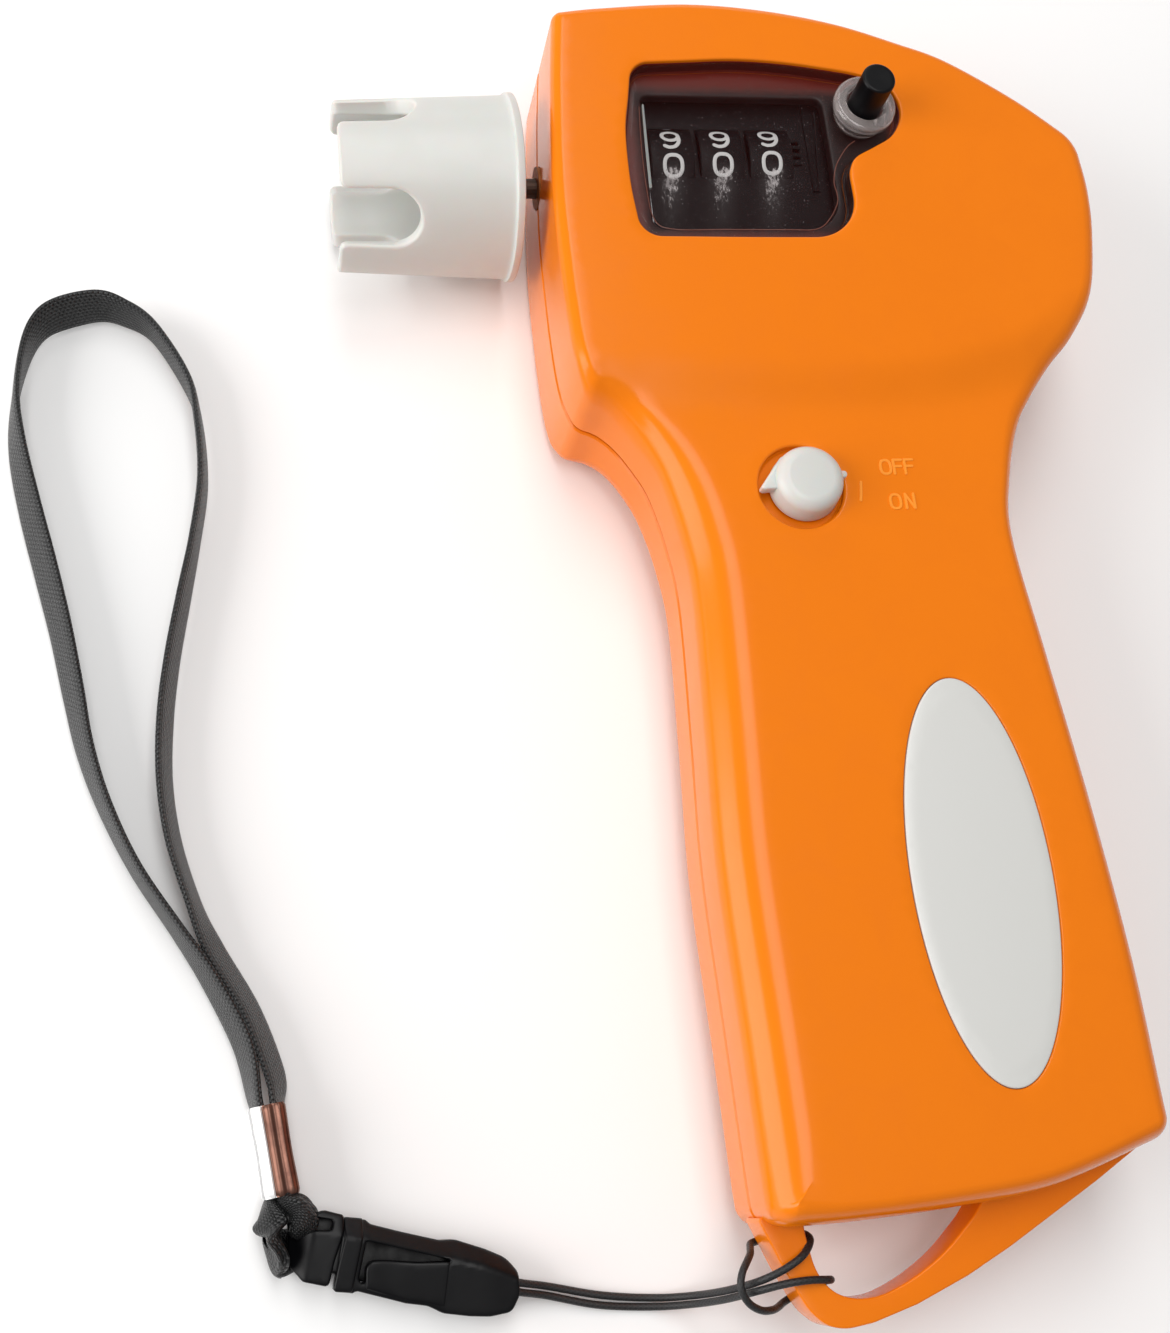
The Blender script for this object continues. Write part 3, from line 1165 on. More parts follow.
def strokeParts(strokes, wide, high, bend, parts, capSteps=4):
    # Strokes of lettering: a flat bar with round ends along each path, bent onto its surface by
    # bend(u, v, height). A path whose ends meet is a closed ring.
    for level, path in enumerate(strokes):
        path = np.asarray(path, float)
        closed = np.allclose(path[0], path[-1])
        if closed:
            path = path[:-1]
            tangent = unit(np.roll(path, -1, 0) - np.roll(path, 1, 0))
        else:
            tangent = unit(np.gradient(path, axis=0))
        width = np.full(len(path), wide / 2)
        if not closed:
            t = np.sin(np.linspace(0, math.pi / 2, capSteps + 1)[1:])
            narrow = wide / 2 * np.maximum(np.sqrt(1 - t**2), 0.12)
            path = np.vstack([path[0] - (t[::-1, None] * tangent[0]) * wide / 2, path,
                              path[-1] + (t[:, None] * tangent[-1]) * wide / 2])
            tangent = np.vstack([np.repeat(tangent[:1], capSteps, 0), tangent,
                                 np.repeat(tangent[-1:], capSteps, 0)])
            width = np.concatenate([narrow[::-1], width, narrow])
        normal = np.stack([-tangent[:, 1], tangent[:, 0]], 1)
        top = high + 0.004 * level
        edges = []
        for side, rise in ((1, 0.0), (1, top * 0.6), (0.78, top), (-0.78, top), (-1, top * 0.6), (-1, 0.0)):
            spot = path + normal * (side * width)[:, None]
            edges.append(bend(spot[:, 0], spot[:, 1], np.full(len(spot), rise)))
        count = len(edges)
        start = parts.add(np.stack(edges, 1).reshape(-1, 3))
        parts.faces.append(gridQuads(len(path), count, closedRows=closed, start=start))
        if not closed:
            first = start + np.arange(count)
            parts.faces += [first[None], (first + (len(path) - 1) * count)[None, ::-1]]


def ring(x, y, rx, ry, power=2.0):
    return closeUp(ellipseLoop((x, y), rx, ry, 40, (2 / power, 2 / power)))


def curve(*points):
    return throughPoints(points, 9 * len(points), power=0)


digitStrokes = {
    0: [ring(0, 0, 1.0, 1.5, power=2.5)],
    1: [curve((-0.5, 0.9), (-0.1, 1.15), (0.2, 1.5)), curve((0.2, 1.5), (0.2, 0), (0.2, -1.5))],
    2: [curve((-0.9, 0.8), (-0.65, 1.3), (0, 1.5), (0.7, 1.25), (0.92, 0.65), (0.6, 0), (-0.25, -0.8),
              (-0.95, -1.45)), curve((-0.95, -1.47), (0, -1.47), (1.0, -1.47))],
    3: [curve((-0.85, 1.0), (-0.4, 1.42), (0.3, 1.45), (0.85, 0.95), (0.6, 0.3), (-0.1, 0.1)),
        curve((-0.1, 0.1), (0.65, -0.05), (0.98, -0.7), (0.6, -1.35), (-0.1, -1.5), (-0.75, -1.25),
              (-0.98, -0.8))],
    4: [curve((0.45, -1.5), (0.45, 0), (0.45, 1.5)), curve((0.45, 1.5), (-0.3, 0.45), (-1.0, -0.55)),
        curve((-1.0, -0.55), (0, -0.55), (1.05, -0.55))],
    5: [curve((0.8, 1.45), (0, 1.45), (-0.65, 1.45)), curve((-0.65, 1.45), (-0.75, 0.7), (-0.82, 0.05)),
        curve((-0.82, 0.05), (-0.2, 0.42), (0.5, 0.32), (0.95, -0.25), (0.9, -0.85), (0.4, -1.4),
              (-0.35, -1.48), (-0.95, -1.1))],
    7: [curve((-0.95, 1.45), (0, 1.45), (0.95, 1.45)),
        curve((0.95, 1.45), (0.3, 0.4), (-0.1, -0.6), (-0.3, -1.5))],
    8: [ring(0, 0.76, 0.78, 0.7), ring(0, -0.72, 0.98, 0.76)],
    9: [ring(-0.02, 0.6, 0.92, 0.88),
        curve((0.88, 0.6), (0.92, 0.0), (0.78, -0.75), (0.35, -1.35), (-0.3, -1.5), (-0.8, -1.25))],
}
digitStrokes[6] = [-stroke for stroke in digitStrokes[9]]

counter = {
    "axis": (0.7, 13.5), "drumR": 5.79, "half": 2.75, "edge": 0.15, "zeroAt": math.radians(-21.5),
    "wheels": {"wheel_hundreds": 15.55, "wheel_tens": 21.8, "wheel_units": 28.05},
    # how far each wheel has already turned towards its next digit, in degrees
    "ahead": {"wheel_hundreds": 0.5, "wheel_tens": 2.5, "wheel_units": 5.0},
    "digitWide": 0.47, "digitHigh": 0.03, "digitScale": (1.1, 0.87), "sunk": 0.02,
    # the bright edges of the bracket's cheeks: top and low end, each x, y and width
    "cheeks": {"left": ((12.35, 6.1, 0.26), (12.0, -5.6, 0.46)),
               "right": ((34.0, 5.4, 0.16), (33.1, -5.4, 0.16))},
    "cheekZ": (20.0, 20.5),
    # the black face below the window, and the dark border that frames it
    "face": {"x": (11.5, 34.9), "y": (-11.2, 7.0), "corners": (1.2, 4.2, 1.0, 1.0), "z": (18.2, 18.3),
             "reach": (0.6, 1.8, 0.6, 2.4), "slotY": (-2.75, 4.12), "slotRoom": 0.1},
    "border": {"z": (19.6, 20.85), "inset": 0.2, "lip": 0.3, "wellR": 2.45, "line": 0.06, "rise": 0.02,
               "rim": ((0.07, 20.82), (0.07, 22.5), (0.015, 22.5), (0.015, 20.87), (-0.3, 20.87),
                       (-0.3, 20.82)),
               "rib": [(38.4, 1.05), (37.5, 0.4), (36.5, -0.8), (35.5, -2.4), (35.0, -3.85), (34.8, -5.1),
                       (34.95, -6.3), (34.9, -7.4), (34.25, -8.8), (33.4, -10), (32.5, -10.9),
                       (31.4, -11.35), (28, -11.4), (20, -11.4), (14, -11.4), (12.2, -10.9), (11.5, -9.6),
                       (11.2, -6), (11.25, 0), (11.6, 5.4)]},
}


def makeBorderFinish(face):
    # Dark red where light comes down through the plastic of the head, fading to black at the
    # black face: the distance outside its rectangle drives the colour.
    finish = bpy.data.materials.new("windowBorder")
    finish.use_nodes = True
    tree = finish.node_tree
    where = addNode(tree, "ShaderNodeTexCoord").outputs["Object"]
    (x0, x1), (y0, y1) = face["x"], face["y"]
    low, high = place([(x0 + 0.3, y0 + 0.3, 0), (x1 + 7, y1 - 0.2, 0)])
    centre, half = (low + high) / 2, (high - low) / 2
    parts = addNode(tree, "ShaderNodeSeparateXYZ", {0: where}).outputs
    away = []
    for i in (0, 1):
        off = calc(tree, "ABSOLUTE", calc(tree, "SUBTRACT", parts[i], float(centre[i])))
        away.append(calc(tree, "SUBTRACT", off, float(half[i])))
    patch = noise(tree, where, 900.0, 4.0)
    far = calc(tree, "MULTIPLY_ADD", patch, 0.0008, calc(tree, "MAXIMUM", *away))
    ramp = addNode(tree, "ShaderNodeValToRGB", {"Fac": remap(tree, far, 0.0, 0.0034)})
    stops = ((0.0, (0.008, 0.003, 0.003, 1)), (0.28, (0.028, 0.006, 0.005, 1)),
             (0.5, (0.12, 0.024, 0.017, 1)), (0.66, (0.17, 0.016, 0.008, 1)), (1.0, (0.2, 0.014, 0.006, 1)))
    while len(ramp.color_ramp.elements) < len(stops):
        ramp.color_ramp.elements.new(0.5)
    for element, (spot, color) in zip(ramp.color_ramp.elements, stops):
        element.position, element.color = spot, color
    dust = addNode(tree, "ShaderNodeGroup", node_tree=dustyBlack)
    feed(tree, dust.inputs, Vector=where, Dust=(0.3, 0.16, 0.14, 1), Base=ramp.outputs["Color"])
    feed(tree, tree.nodes["Principled BSDF"].inputs, Base_Color=dust.outputs["Color"],
         Roughness=dust.outputs["Roughness"])
    return finish


def makeDigits(body, x, d):
    # the ten digits round one drum, wrapped on it, the next lower one always further round to +Y
    axisY, axisZ = d["axis"]
    r, h, sunk = d["drumR"], d["half"], d["sunk"]
    parts = MeshParts()
    for digit, strokes in digitStrokes.items():
        middle = d["zeroAt"] + math.radians(d["ahead"][body] - 36 * digit)
        sized = [np.asarray(s) * d["digitScale"] for s in strokes]

        def bend(u, v, rise, middle=middle):
            angle = middle + v / r
            reach = r - sunk + rise
            return np.column_stack([x + u, axisY + reach * np.sin(angle), axisZ + reach * np.cos(angle)])

        strokeParts(sized, d["digitWide"], d["digitHigh"] + sunk, bend, parts)
    addPiece(body + "Digits", parts.done(), "digitInk", body, "black_plastic")
    profile = roundCorners([(r - 1.0, x - h), (r, x - h), (r, x + h), (r - 1.0, x + h)], d["edge"], 4, True)
    addPiece(body + "Drum", turned("x", d["axis"], closeUp(profile), 96), "counterBlack", body,
             "black_plastic")


def makeCounter(d):
    for body, x in d["wheels"].items():
        makeDigits(body, x, d)
    face, border = d["face"], d["border"]
    (x0, x1), (y0, y1) = face["x"], face["y"]
    left, right, down, up = face["reach"]
    outer = loopFrom(corners((x0 - left, x1 + right), (y0 - down, y1 + up)), 1.0, 0.6)
    half = d["half"] + face["slotRoom"]
    slots = [loopFrom(corners((x - half, x + half), face["slotY"]), 0.2, 0.5) for x in d["wheels"].values()]
    addPiece("counterFace", plateParts(outer, slots, *face["z"], 0.03, 1.5, lipSteps=3), "counterBlack",
             "winder", "black_plastic")
    outward = loopNormals(lensLoop)
    edge = lensLoop - outward * border["inset"]
    hole = loopFrom([(x0, y0), (x1, y0), (x1, y1), (x0 + 0.45, y1)], face["corners"], 0.45)
    well = ellipseLoop(lensData["collar"]["at"], border["wellR"], border["wellR"], 48)
    addPiece("windowBorder", plateParts(edge, [hole, well], *border["z"], border["lip"], 0.8, lipLow=0.05),
             "windowBorder", "winder", "black_plastic")
    # a thin dark band stands round the window's edge, between it and the head
    rows = [np.column_stack([lensLoop + outward * off, np.full(len(lensLoop), z)])
            for off, z in border["rim"]]
    addPiece("windowRim", (np.vstack(rows), gridQuads(len(rows), len(lensLoop), closedRows=True)),
             "windowBorder", "winder", "black_plastic")
    # the edges of the bracket's two cheeks show as pale lines
    for side, finish, slot in (("left", "whitePlastic", "white_plastic"),
                               ("right", "counterBlack", "black_plastic")):
        (topX, top, topWide), (lowX, low, lowWide) = d["cheeks"][side]
        cheek = [(lowX - lowWide, low), (lowX, low), (topX, top), (topX - topWide, top)]
        loop = loopFrom(cheek, 0.03, 0.3)
        addPiece(side + "CheekEdge", plateParts(loop, [], *d["cheekZ"], 0.03, 0.4, lipSteps=2), finish,
                 "winder", slot)
    # a thin rib under the window catches the light
    ribZ = border["z"][1] + border["rise"]
    path = evenly(throughPoints([(*spot, ribZ) for spot in border["rib"]], 1200), 200)
    addPiece("windowRib", tubeAlong(path, border["line"], 8), "rosyLine", "winder", "smoked_lens")


finishes["windowBorder"] = makeBorderFinish(counter["face"])
makeCounter(counter)
print("counter made")


def makeWindowDust():
    # Streaks of pale dust inside the window: three soft columns, broken up by noise.
    group, given, out = nodeGroup("windowDust", {"Vector": None}, ["Mask"])
    parts = addNode(group, "ShaderNodeSeparateXYZ", {0: given["Vector"]}).outputs
    topY, lowY, leanY = (float(place([(0, y, 0)])[0, 1]) for y in (-3.2, -15.0, -4.2))
    fall = remap(group, parts[1], topY, lowY)
    total, lean = None, 0.17
    for x in counter["wheels"].values():
        # each column leans: its middle moves with Y by a sixth
        middle = float(place([(x - 1.2, 0, 0)])[0, 0]) - leanY * lean
        drift = calc(group, "MULTIPLY_ADD", parts[1], lean, middle)
        off = calc(group, "MULTIPLY", calc(group, "SUBTRACT", parts[0], drift), 700.0)
        bell = calc(group, "EXPONENT", calc(group, "MULTIPLY", calc(group, "MULTIPLY", off, off), -1.0))
        total = bell if total is None else calc(group, "ADD", total, bell)
    stretched = addNode(group, "ShaderNodeVectorMath", {0: given["Vector"], 1: (2600.0, 1100.0, 1100.0)},
                        operation="MULTIPLY")
    streak = noise(group, stretched.outputs[0], 1.0, 6.0, Roughness=0.75)
    start = remap(group, fall, 0.0, 0.12)
    fade = remap(group, fall, 0.1, 0.9, 1.0, 0.0)
    strength = calc(group, "MULTIPLY", calc(group, "MULTIPLY", total, start), fade)
    level = calc(group, "SUBTRACT", 0.74, calc(group, "MULTIPLY", strength, 0.40))
    mask = calc(group, "MULTIPLY", calc(group, "SUBTRACT", streak, level), 7.0, clamp=True)
    haze = calc(group, "MULTIPLY", calc(group, "MULTIPLY", strength, streak), 0.42)
    feed(group, out, Mask=calc(group, "MAXIMUM", calc(group, "MULTIPLY", mask, 0.7), haze))
    return group


def dustLens(finish):
    # the dust whitens the window's own colour and hides what is behind it
    tree = finish.node_tree
    sockets = tree.nodes["Principled BSDF"].inputs
    where = addNode(tree, "ShaderNodeTexCoord")
    dust = addNode(tree, "ShaderNodeGroup", node_tree=makeWindowDust())
    feed(tree, dust.inputs, Vector=where.outputs["Object"])
    mask = dust.outputs["Mask"]
    base, alpha = (sockets[key].links[0].from_socket for key in ("Base Color", "Alpha"))
    feed(tree, sockets, Base_Color=mixColor(tree, mask, base, (0.62, 0.58, 0.58, 1)),
         Alpha=calc(tree, "MAXIMUM", alpha, mask))


def makeClearRing():
    # clear plastic, faintly rosy, with the marks of its mould in the roughness
    finish, tree, shader, _, _ = startFinish("clearRing", mouldedSkin, {
        "Base": (0.98, 0.94, 0.93, 1), "Shade": (0.92, 0.72, 0.68, 1), "Rough": 0.03, "Spread": 0.1})
    feed(tree, shader.inputs, Transmission_Weight=0.85, IOR=1.49)
    return finish


dustLens(finishes["smokedLens"])
finishes["clearRing"] = makeClearRing()


def makeLens(d):
    collar, low, high = d["collar"], d["lowZ"], d["topZ"]
    hole = ellipseLoop(collar["at"], collar["holeR"], collar["holeR"], 72)
    plate = plateParts(lensLoop, [hole], low, high, d["lip"], 0.8, lipSteps=6, lipLow=0.1, holeLip=0.05)
    addPiece("windowLens", plate, "smokedLens", "winder", "smoked_lens", "window_lens", angle=50)
    r, bore, top, seat = collar["outR"], collar["boreR"], collar["topZ"], collar["holeR"] - 0.05
    profile = roundCorners([(bore, low), (seat, low), (seat, high - 0.05), (r, high - 0.05), (r, top),
                            (bore, top)], [0.05, 0.05, 0, 0.1, 0.55, 0.3], 6, True)
    addPiece("lensCollar", turned("z", collar["at"], closeUp(profile), 96), "clearRing", "winder",
             "smoked_lens", angle=50)


makeLens(lensData)

resetButton = {"at": (39.4, 4.5), "stemR": 1.1, "stemZ": 9.0, "flangeR": 3.5, "flangeZ": (18.2, 19.2),
               "r": 2.06, "topZ": 28.7, "edge": 0.35, "dish": 0.06}


def makeButton(d):
    low, high = d["flangeZ"]
    line = roundCorners([(0, d["stemZ"]), (d["stemR"], d["stemZ"]), (d["stemR"], low), (d["flangeR"], low),
                         (d["flangeR"], high), (d["r"], high), (d["r"], d["topZ"]), (1.4, d["topZ"] - 0.01),
                         (0.9, d["topZ"] - d["dish"]), (0, d["topZ"] - d["dish"])],
                        [0, 0.2, 0.1, 0.2, 0.2, 0.1, d["edge"], 0.4, 0.3, 0], 5)
    addPiece("resetPin", turned("z", d["at"], line), "blackPlastic", "button", "black_plastic",
             "reset_button")


makeButton(resetButton)

switchKnob = {
    "at": (25.1, -44.6), "baseR": 4.2, "topR": 3.9, "edge": 1.5, "topZ": 24.0, "floorZ": 20.4,
    "stemR": 1.5, "stemZ": 14.5, "tilt": math.radians(9),
    "fin": {"tip": (-6.0, -1.0), "left": (-2.8, 3.1), "low": (-4.1, -0.9), "in": (-1.0, -1.2),
            "z": (21.45, 22.7)},
    "nub": {"in": 3, "out": 4.75, "half": 0.42, "z": (21.45, 22.6)},
}


def makeKnob(d):
    line = roundCorners([(0, d["stemZ"]), (d["stemR"], d["stemZ"]), (d["stemR"], d["floorZ"]),
                         (d["baseR"], d["floorZ"]), (d["topR"], d["topZ"]), (0, d["topZ"] + 0.05)],
                        [0, 0.2, 0.1, 0.2, d["edge"], 0], 8)
    blocks = [turned("z", d["at"], line, 96)]
    fin, nub, at, turn = d["fin"], d["nub"], np.array(d["at"]), d["tilt"]
    finLoop = roundCorners([at + fin["tip"], at + fin["low"], at + fin["in"], at + (0.5, 0.5),
                            at + fin["left"]], [0.28, 1.5, 0.1, 0.1, 0.3], 5, True)
    ahead, side = np.array([math.cos(turn), math.sin(turn)]), np.array([-math.sin(turn), math.cos(turn)])
    start, end, half = nub["in"], nub["out"], nub["half"]
    spots = [at + ahead * s + side * t for s, t in corners((start, end), (-half, half))]
    nubLoop = roundCorners(spots, [0.02, 0.38, 0.38, 0.02], 5, True)
    for loop, height in ((finLoop, fin["z"]), (nubLoop, nub["z"])):
        loop = anticlockwise(loop)
        loop = evenly(loop, max(int(lineLength(loop) / 0.25), 24), closed=True)
        blocks.append(plateParts(loop, [], *height, 0.22, 0.5, lipLow=0.02))
    addPiece("knobCap", joined(blocks), "whitePlastic", "knob", "white_plastic", "switch_knob")


makeKnob(switchKnob)


def makeBadge(d):
    # an oval plate with a thin step round it and a face that is domed a little
    loop = ellipseLoop(d["at"], d["rx"], d["ry"], 160)

    def bend(points):
        x, y = points[:, 0] - d["at"][0], points[:, 1] - d["at"][1]
        off = x ** 2 / d["rx"] ** 2 + y ** 2 / d["ry"] ** 2
        rim = smoothStep((0.90 - off) / 0.06) * 0.08
        top = points[:, 2] > gripTopZ
        points[:, 2] += np.where(top, rim + 0.12 * np.maximum(1 - off, 0), 0)
        return points

    plate = plateParts(loop, [], gripTopZ - 1.0 + 0.02, gripTopZ + 0.1, 0.18, 0.7, bend=bend, lipLow=0.05)
    addPiece("ovalBadge", plate, "badgePlastic", "winder", "grey_inlay", "badge_oval")


makeBadge(badgeData)

switchWords = {
    "tick": [[(31.75, -44.5), (31.6, -45.6), (31.4, -46.7)]],
    "off": ((36.5, -42.7), 1.7, (-1.45, 0.0, 1.35)),
    "on": ((36.4, -47.0), 1.7, (-0.85, 0.9)),
    "wide": 0.34, "high": 0.07, "sunk": 0.05,
}


def makeWords(d):
    # OFF and ON raised on the grip beside the knob, and the tick that the knob's line points along
    tall = d["off"][1] / 2
    o = ring(0, 0, 0.62, tall, power=2.6)
    bars = {"n": (((-0.5, -tall), (-0.5, 0), (-0.5, tall)), ((-0.5, tall), (0, 0), (0.5, -tall)),
                  ((0.5, -tall), (0.5, 0), (0.5, tall))),
            "f": (((-0.45, -tall), (-0.45, 0), (-0.45, tall)), ((-0.45, tall), (0, tall), (0.5, tall)),
                  ((-0.45, 0.05), (0, 0.05), (0.4, 0.05)))}
    n, f = ([curve(*bar) for bar in bars[letter]] for letter in "nf")
    strokes = [np.asarray(line, float) for line in d["tick"]]
    for (centre, _, steps), letters in ((d["off"], ([o], f, f)), (d["on"], ([o], n))):
        for step, letter in zip(steps, letters):
            strokes += [np.asarray(s) + np.array(centre) + (step, 0) for s in letter]

    def bend(u, v, h):
        return np.column_stack([u, v, gripTopZ - d["sunk"] + h])

    parts = MeshParts()
    strokeParts(strokes, d["wide"], d["high"] + d["sunk"], bend, parts)
    addPiece("switchWords", parts.done(), "wordOrange", "winder", "orange_plastic")


makeWords(switchWords)
print("button, knob, badge and words made")

bailData = {
    "outer": [(13.2, -120.5), (13.2, -123.6), (11.2, -122.7), (10.5, -122.9), (12.5, -127.9),
              (14.6, -132.3), (16.4, -134.0), (18.4, -134.5), (21.4, -134.2), (26.3, -133.0),
              (32.2, -130.9), (37.4, -128.6), (42.8, -125.9), (48.4, -123.1), (54.3, -119.9),
              (54.2, -119.4), (52.6, -120.25), (49.6, -121.05), (43.0, -122.5), (38.0, -123.4),
              (38.0, -120.5)],
    "radii": [0.3, 0.3, 0.3, 0.2, 9, 9, 9, 9, 9, 30, 40, 40, 40, 40, 0.2, 0.2, 6, 9, 9, 0.4, 0.3],
    "hole": [(15.4, -122.2), (15.3, -124.6), (15.9, -128.6), (17.4, -130.8), (19.6, -131.75), (22.4, -131.8),
             (26.0, -130.6), (30.1, -128.4), (34.0, -125.0), (35.2, -123.6), (35.2, -122.2)],
    "holeRadii": [0.5, 4, 9, 9, 9, 9, 20, 20, 4, 1, 0.5],
    "z": (8.9, 14.1),
    "lip": 1.2,
}


def makeBail(d):
    outer = loopFrom(d["outer"], d["radii"], 0.4)
    hole = loopFrom(d["hole"], d["holeRadii"], 0.4)
    addPiece("bailLoop", plateParts(outer, [hole], *d["z"], d["lip"], 0.8, lipSteps=7), "orangePlastic",
             "winder", "orange_plastic", "lanyard_bail", angle=50)


makeBail(bailData)


buckle = {
    "z": (0.4, 5.0),
    # counterclockwise outlines with the radius of each corner
    "plug": ([(-30.9, -118.3), (-28.8, -118.7), (-28.3, -119.2), (-25.2, -120.3), (-21.2, -121.6),
              (-19.6, -121.7), (-16.5, -123.0), (-14.4, -124.1), (-13.3, -125.6), (-13.3, -127.9),
              (-14.3, -129.5), (-16.6, -129.7), (-18.8, -129.4), (-21.5, -128.8), (-23.0, -127.9),
              (-25.2, -127.4), (-30.2, -125.6), (-30.6, -125.8), (-32.5, -125.3)],
             [0.25, 0.25, 0.3, 5, 1, 1.5, 3, 3, 1.2, 1.5, 1.0, 3, 5, 2, 2, 5, 0.25, 0.25, 0.25], 0.3),
    "window": ([(-28.85, -120.8), (-20.3, -123.65), (-20.7, -124.05), (-28.3, -123.2), (-29.45, -125.1),
                (-29.9, -124.5)], [0.15, 0.1, 0.1, 0.8, 0.1, 0.2], 0.3),
    "collar": ([(-31.1, -118.15), (-29.0, -118.55), (-29.15, -120.4), (-30.65, -125.75), (-32.6, -125.4),
                (-31.9, -122.9), (-31.0, -120.2)], [0.3, 0.3, 0.5, 0.3, 0.3, 1, 1], 0.3),
    "arm": ([(-29.25, -125.5), (-29.1, -123.5), (-28.6, -122.85), (-27.3, -122.9), (-23.8, -123.5),
             (-20.3, -123.8), (-21.2, -128.3), (-23.0, -127.75), (-25.2, -127.2)],
            [0.2, 0.8, 0.7, 2, 6, 0.2, 0.2, 2, 5], 0.3),
    "floor": ([(-30.5, -119.8), (-19.5, -122.7), (-20.5, -127.5), (-31.2, -124.3)], 0.5, 0.5),
    "tongue": ([(-30.2, -119.9), (-35.4, -119.7), (-36.1, -123), (-31.8, -123.8)], 0.6, 0.35),
    "socket": ([(-36.9, -117.6), (-33.9, -117.45), (-33.0, -117.3), (-31.0, -118.0), (-31.1, -119.8),
                (-32.2, -122.4), (-33.0, -124.9), (-35.6, -124.1), (-36.2, -123.3), (-37.2, -122.1),
                (-36.8, -119.6)], [0.5, 0.5, 0.5, 0.3, 1, 2, 0.4, 0.6, 0.8, 1.0, 1.0], 0.3),
    "slot": ([(-35.1, -118.3), (-33.9, -117.95), (-32.1, -118.4), (-32.4, -119.4), (-34.2, -119.2),
              (-35.3, -119.3)], 0.25, 0.25),
    "slotFloor": ([(-35.6, -117.8), (-35.6, -119.8), (-31.5, -119.8), (-31.5, -117.9)], 0.3, 0.3),
    # each half's ridge line, and how steeply its top falls toward +Y, toward -Y and at the free end
    "plugTop": ([(-33, -119.8), (-30.8, -120.2), (-28.9, -120.6), (-20.1, -123.6), (-16.7, -124.7),
                 (-12.9, -126.5)], 0.75, 0.16, 0.5),
    "socketTop": ([(-38, -118.9), (-36.0, -119.2), (-34.2, -119.2), (-31.2, -119.9)], 0.35, 0.12, 0.0),
}


def topBend(high, ridge, up, down, drop):
    # lowers a plate's top on each side of the ridge line, more on the side toward +Y
    line = np.array(ridge, float)
    flatZ = 1.2

    def bend(points):
        off = points[:, 1] - np.interp(points[:, 0], line[:, 0], line[:, 1])
        lower = np.where(off > 0, off * up, -off * down)
        end = smoothStep((points[:, 0] + 17.5) / 5.0) * drop
        share = np.clip((points[:, 2] - flatZ) / (high - flatZ), 0, 1)
        points[:, 2] -= share * (lower + end)
        return points

    return bend


def makeBuckle(d):
    low, high = d["z"]
    bend = topBend(high, *d["plugTop"])
    loops = {name: loopFrom(*row) for name, row in d.items() if name not in ("z", "plugTop", "socketTop")}

    def armBend(points):
        points = bend(points)
        # the arm's free end is rolled over, and it sinks a little toward its root
        bulge = smoothStep((-26.2 - points[:, 0]) / 3.0) * 0.25
        points[:, 2] += np.where(points[:, 2] > high / 2, bulge + 0.05, 0)
        return points

    # the collar round the plug's mouth stands a little proud
    blocks = [plateParts(loops["plug"], [loops["window"]], low, high, 0.3, 0.45, bend=bend),
              plateParts(loops["collar"], [], low - 0.05, high + 0.22, 0.25, 0.45, bend=bend),
              plateParts(loops["arm"], [], 1.4, high, 0.55, 0.45, lipSteps=6, bend=armBend, lipLow=0.2),
              plateParts(loops["floor"], [], 1.0, 1.5, 0.1, 1.0, lipSteps=2),
              plateParts(loops["tongue"], [], 1.6, 3.7, 0.3, 0.8, lipSteps=3)]
    plug = addPiece("plugHalf", joined(blocks), "blackPlastic", "winder", "black_plastic", "buckle_plug",
                    angle=40)
    socketTop = topBend(high, *d["socketTop"])

    def socketBend(points):
        points = socketTop(points)
        # its outer end falls away to the bar
        fall = smoothStep((-34.0 - points[:, 0] + 0.24 * (points[:, 1] + 120)) / 3.2) * 1.5
        points[:, 2] -= np.where(points[:, 2] > high / 2, fall, 0)
        return points

    blocks = [plateParts(loops["socket"], [loops["slot"]], low, high - 0.25, 0.35, 0.45, bend=socketBend),
              plateParts(loops["slotFloor"], [], low + 0.1, low + 0.8, 0.1, 0.6, lipSteps=2)]
    addPiece("socketHalf", joined(blocks), "blackPlastic", "strap", "black_plastic", "buckle_socket",
             angle=40)
    return plug


plugPiece = makeBuckle(buckle)
print("bail and buckle made")


def webSection(wide, thick):
    # a flat web's cross-section, with rounded selvedges
    return ellipseLoop((0, 0), wide / 2, thick / 2, 28, (0.55, 0.75))


def loft(centres, wideAxis, thickAxis, sections, pick, end):
    # rings carried along a line, each laid out along its own two axes, with UV in picks and ends
    rows, count = len(centres), sections.shape[1]
    rings = centres[:, None] + sections[..., :1] * wideAxis[:, None] + sections[..., 1:] * thickAxis[:, None]
    along = runLength(centres) / pick
    across = runLength(closeUp(sections[0])) / end
    across *= 2 * round(across[-1] / 2) / across[-1]
    uv = np.vstack([gridUv(rows, count, along, across), np.zeros((2 * count, 2))])
    return (rings.reshape(-1, 3), list(gridQuads(rows, count)) + endCaps(rows, count)), uv


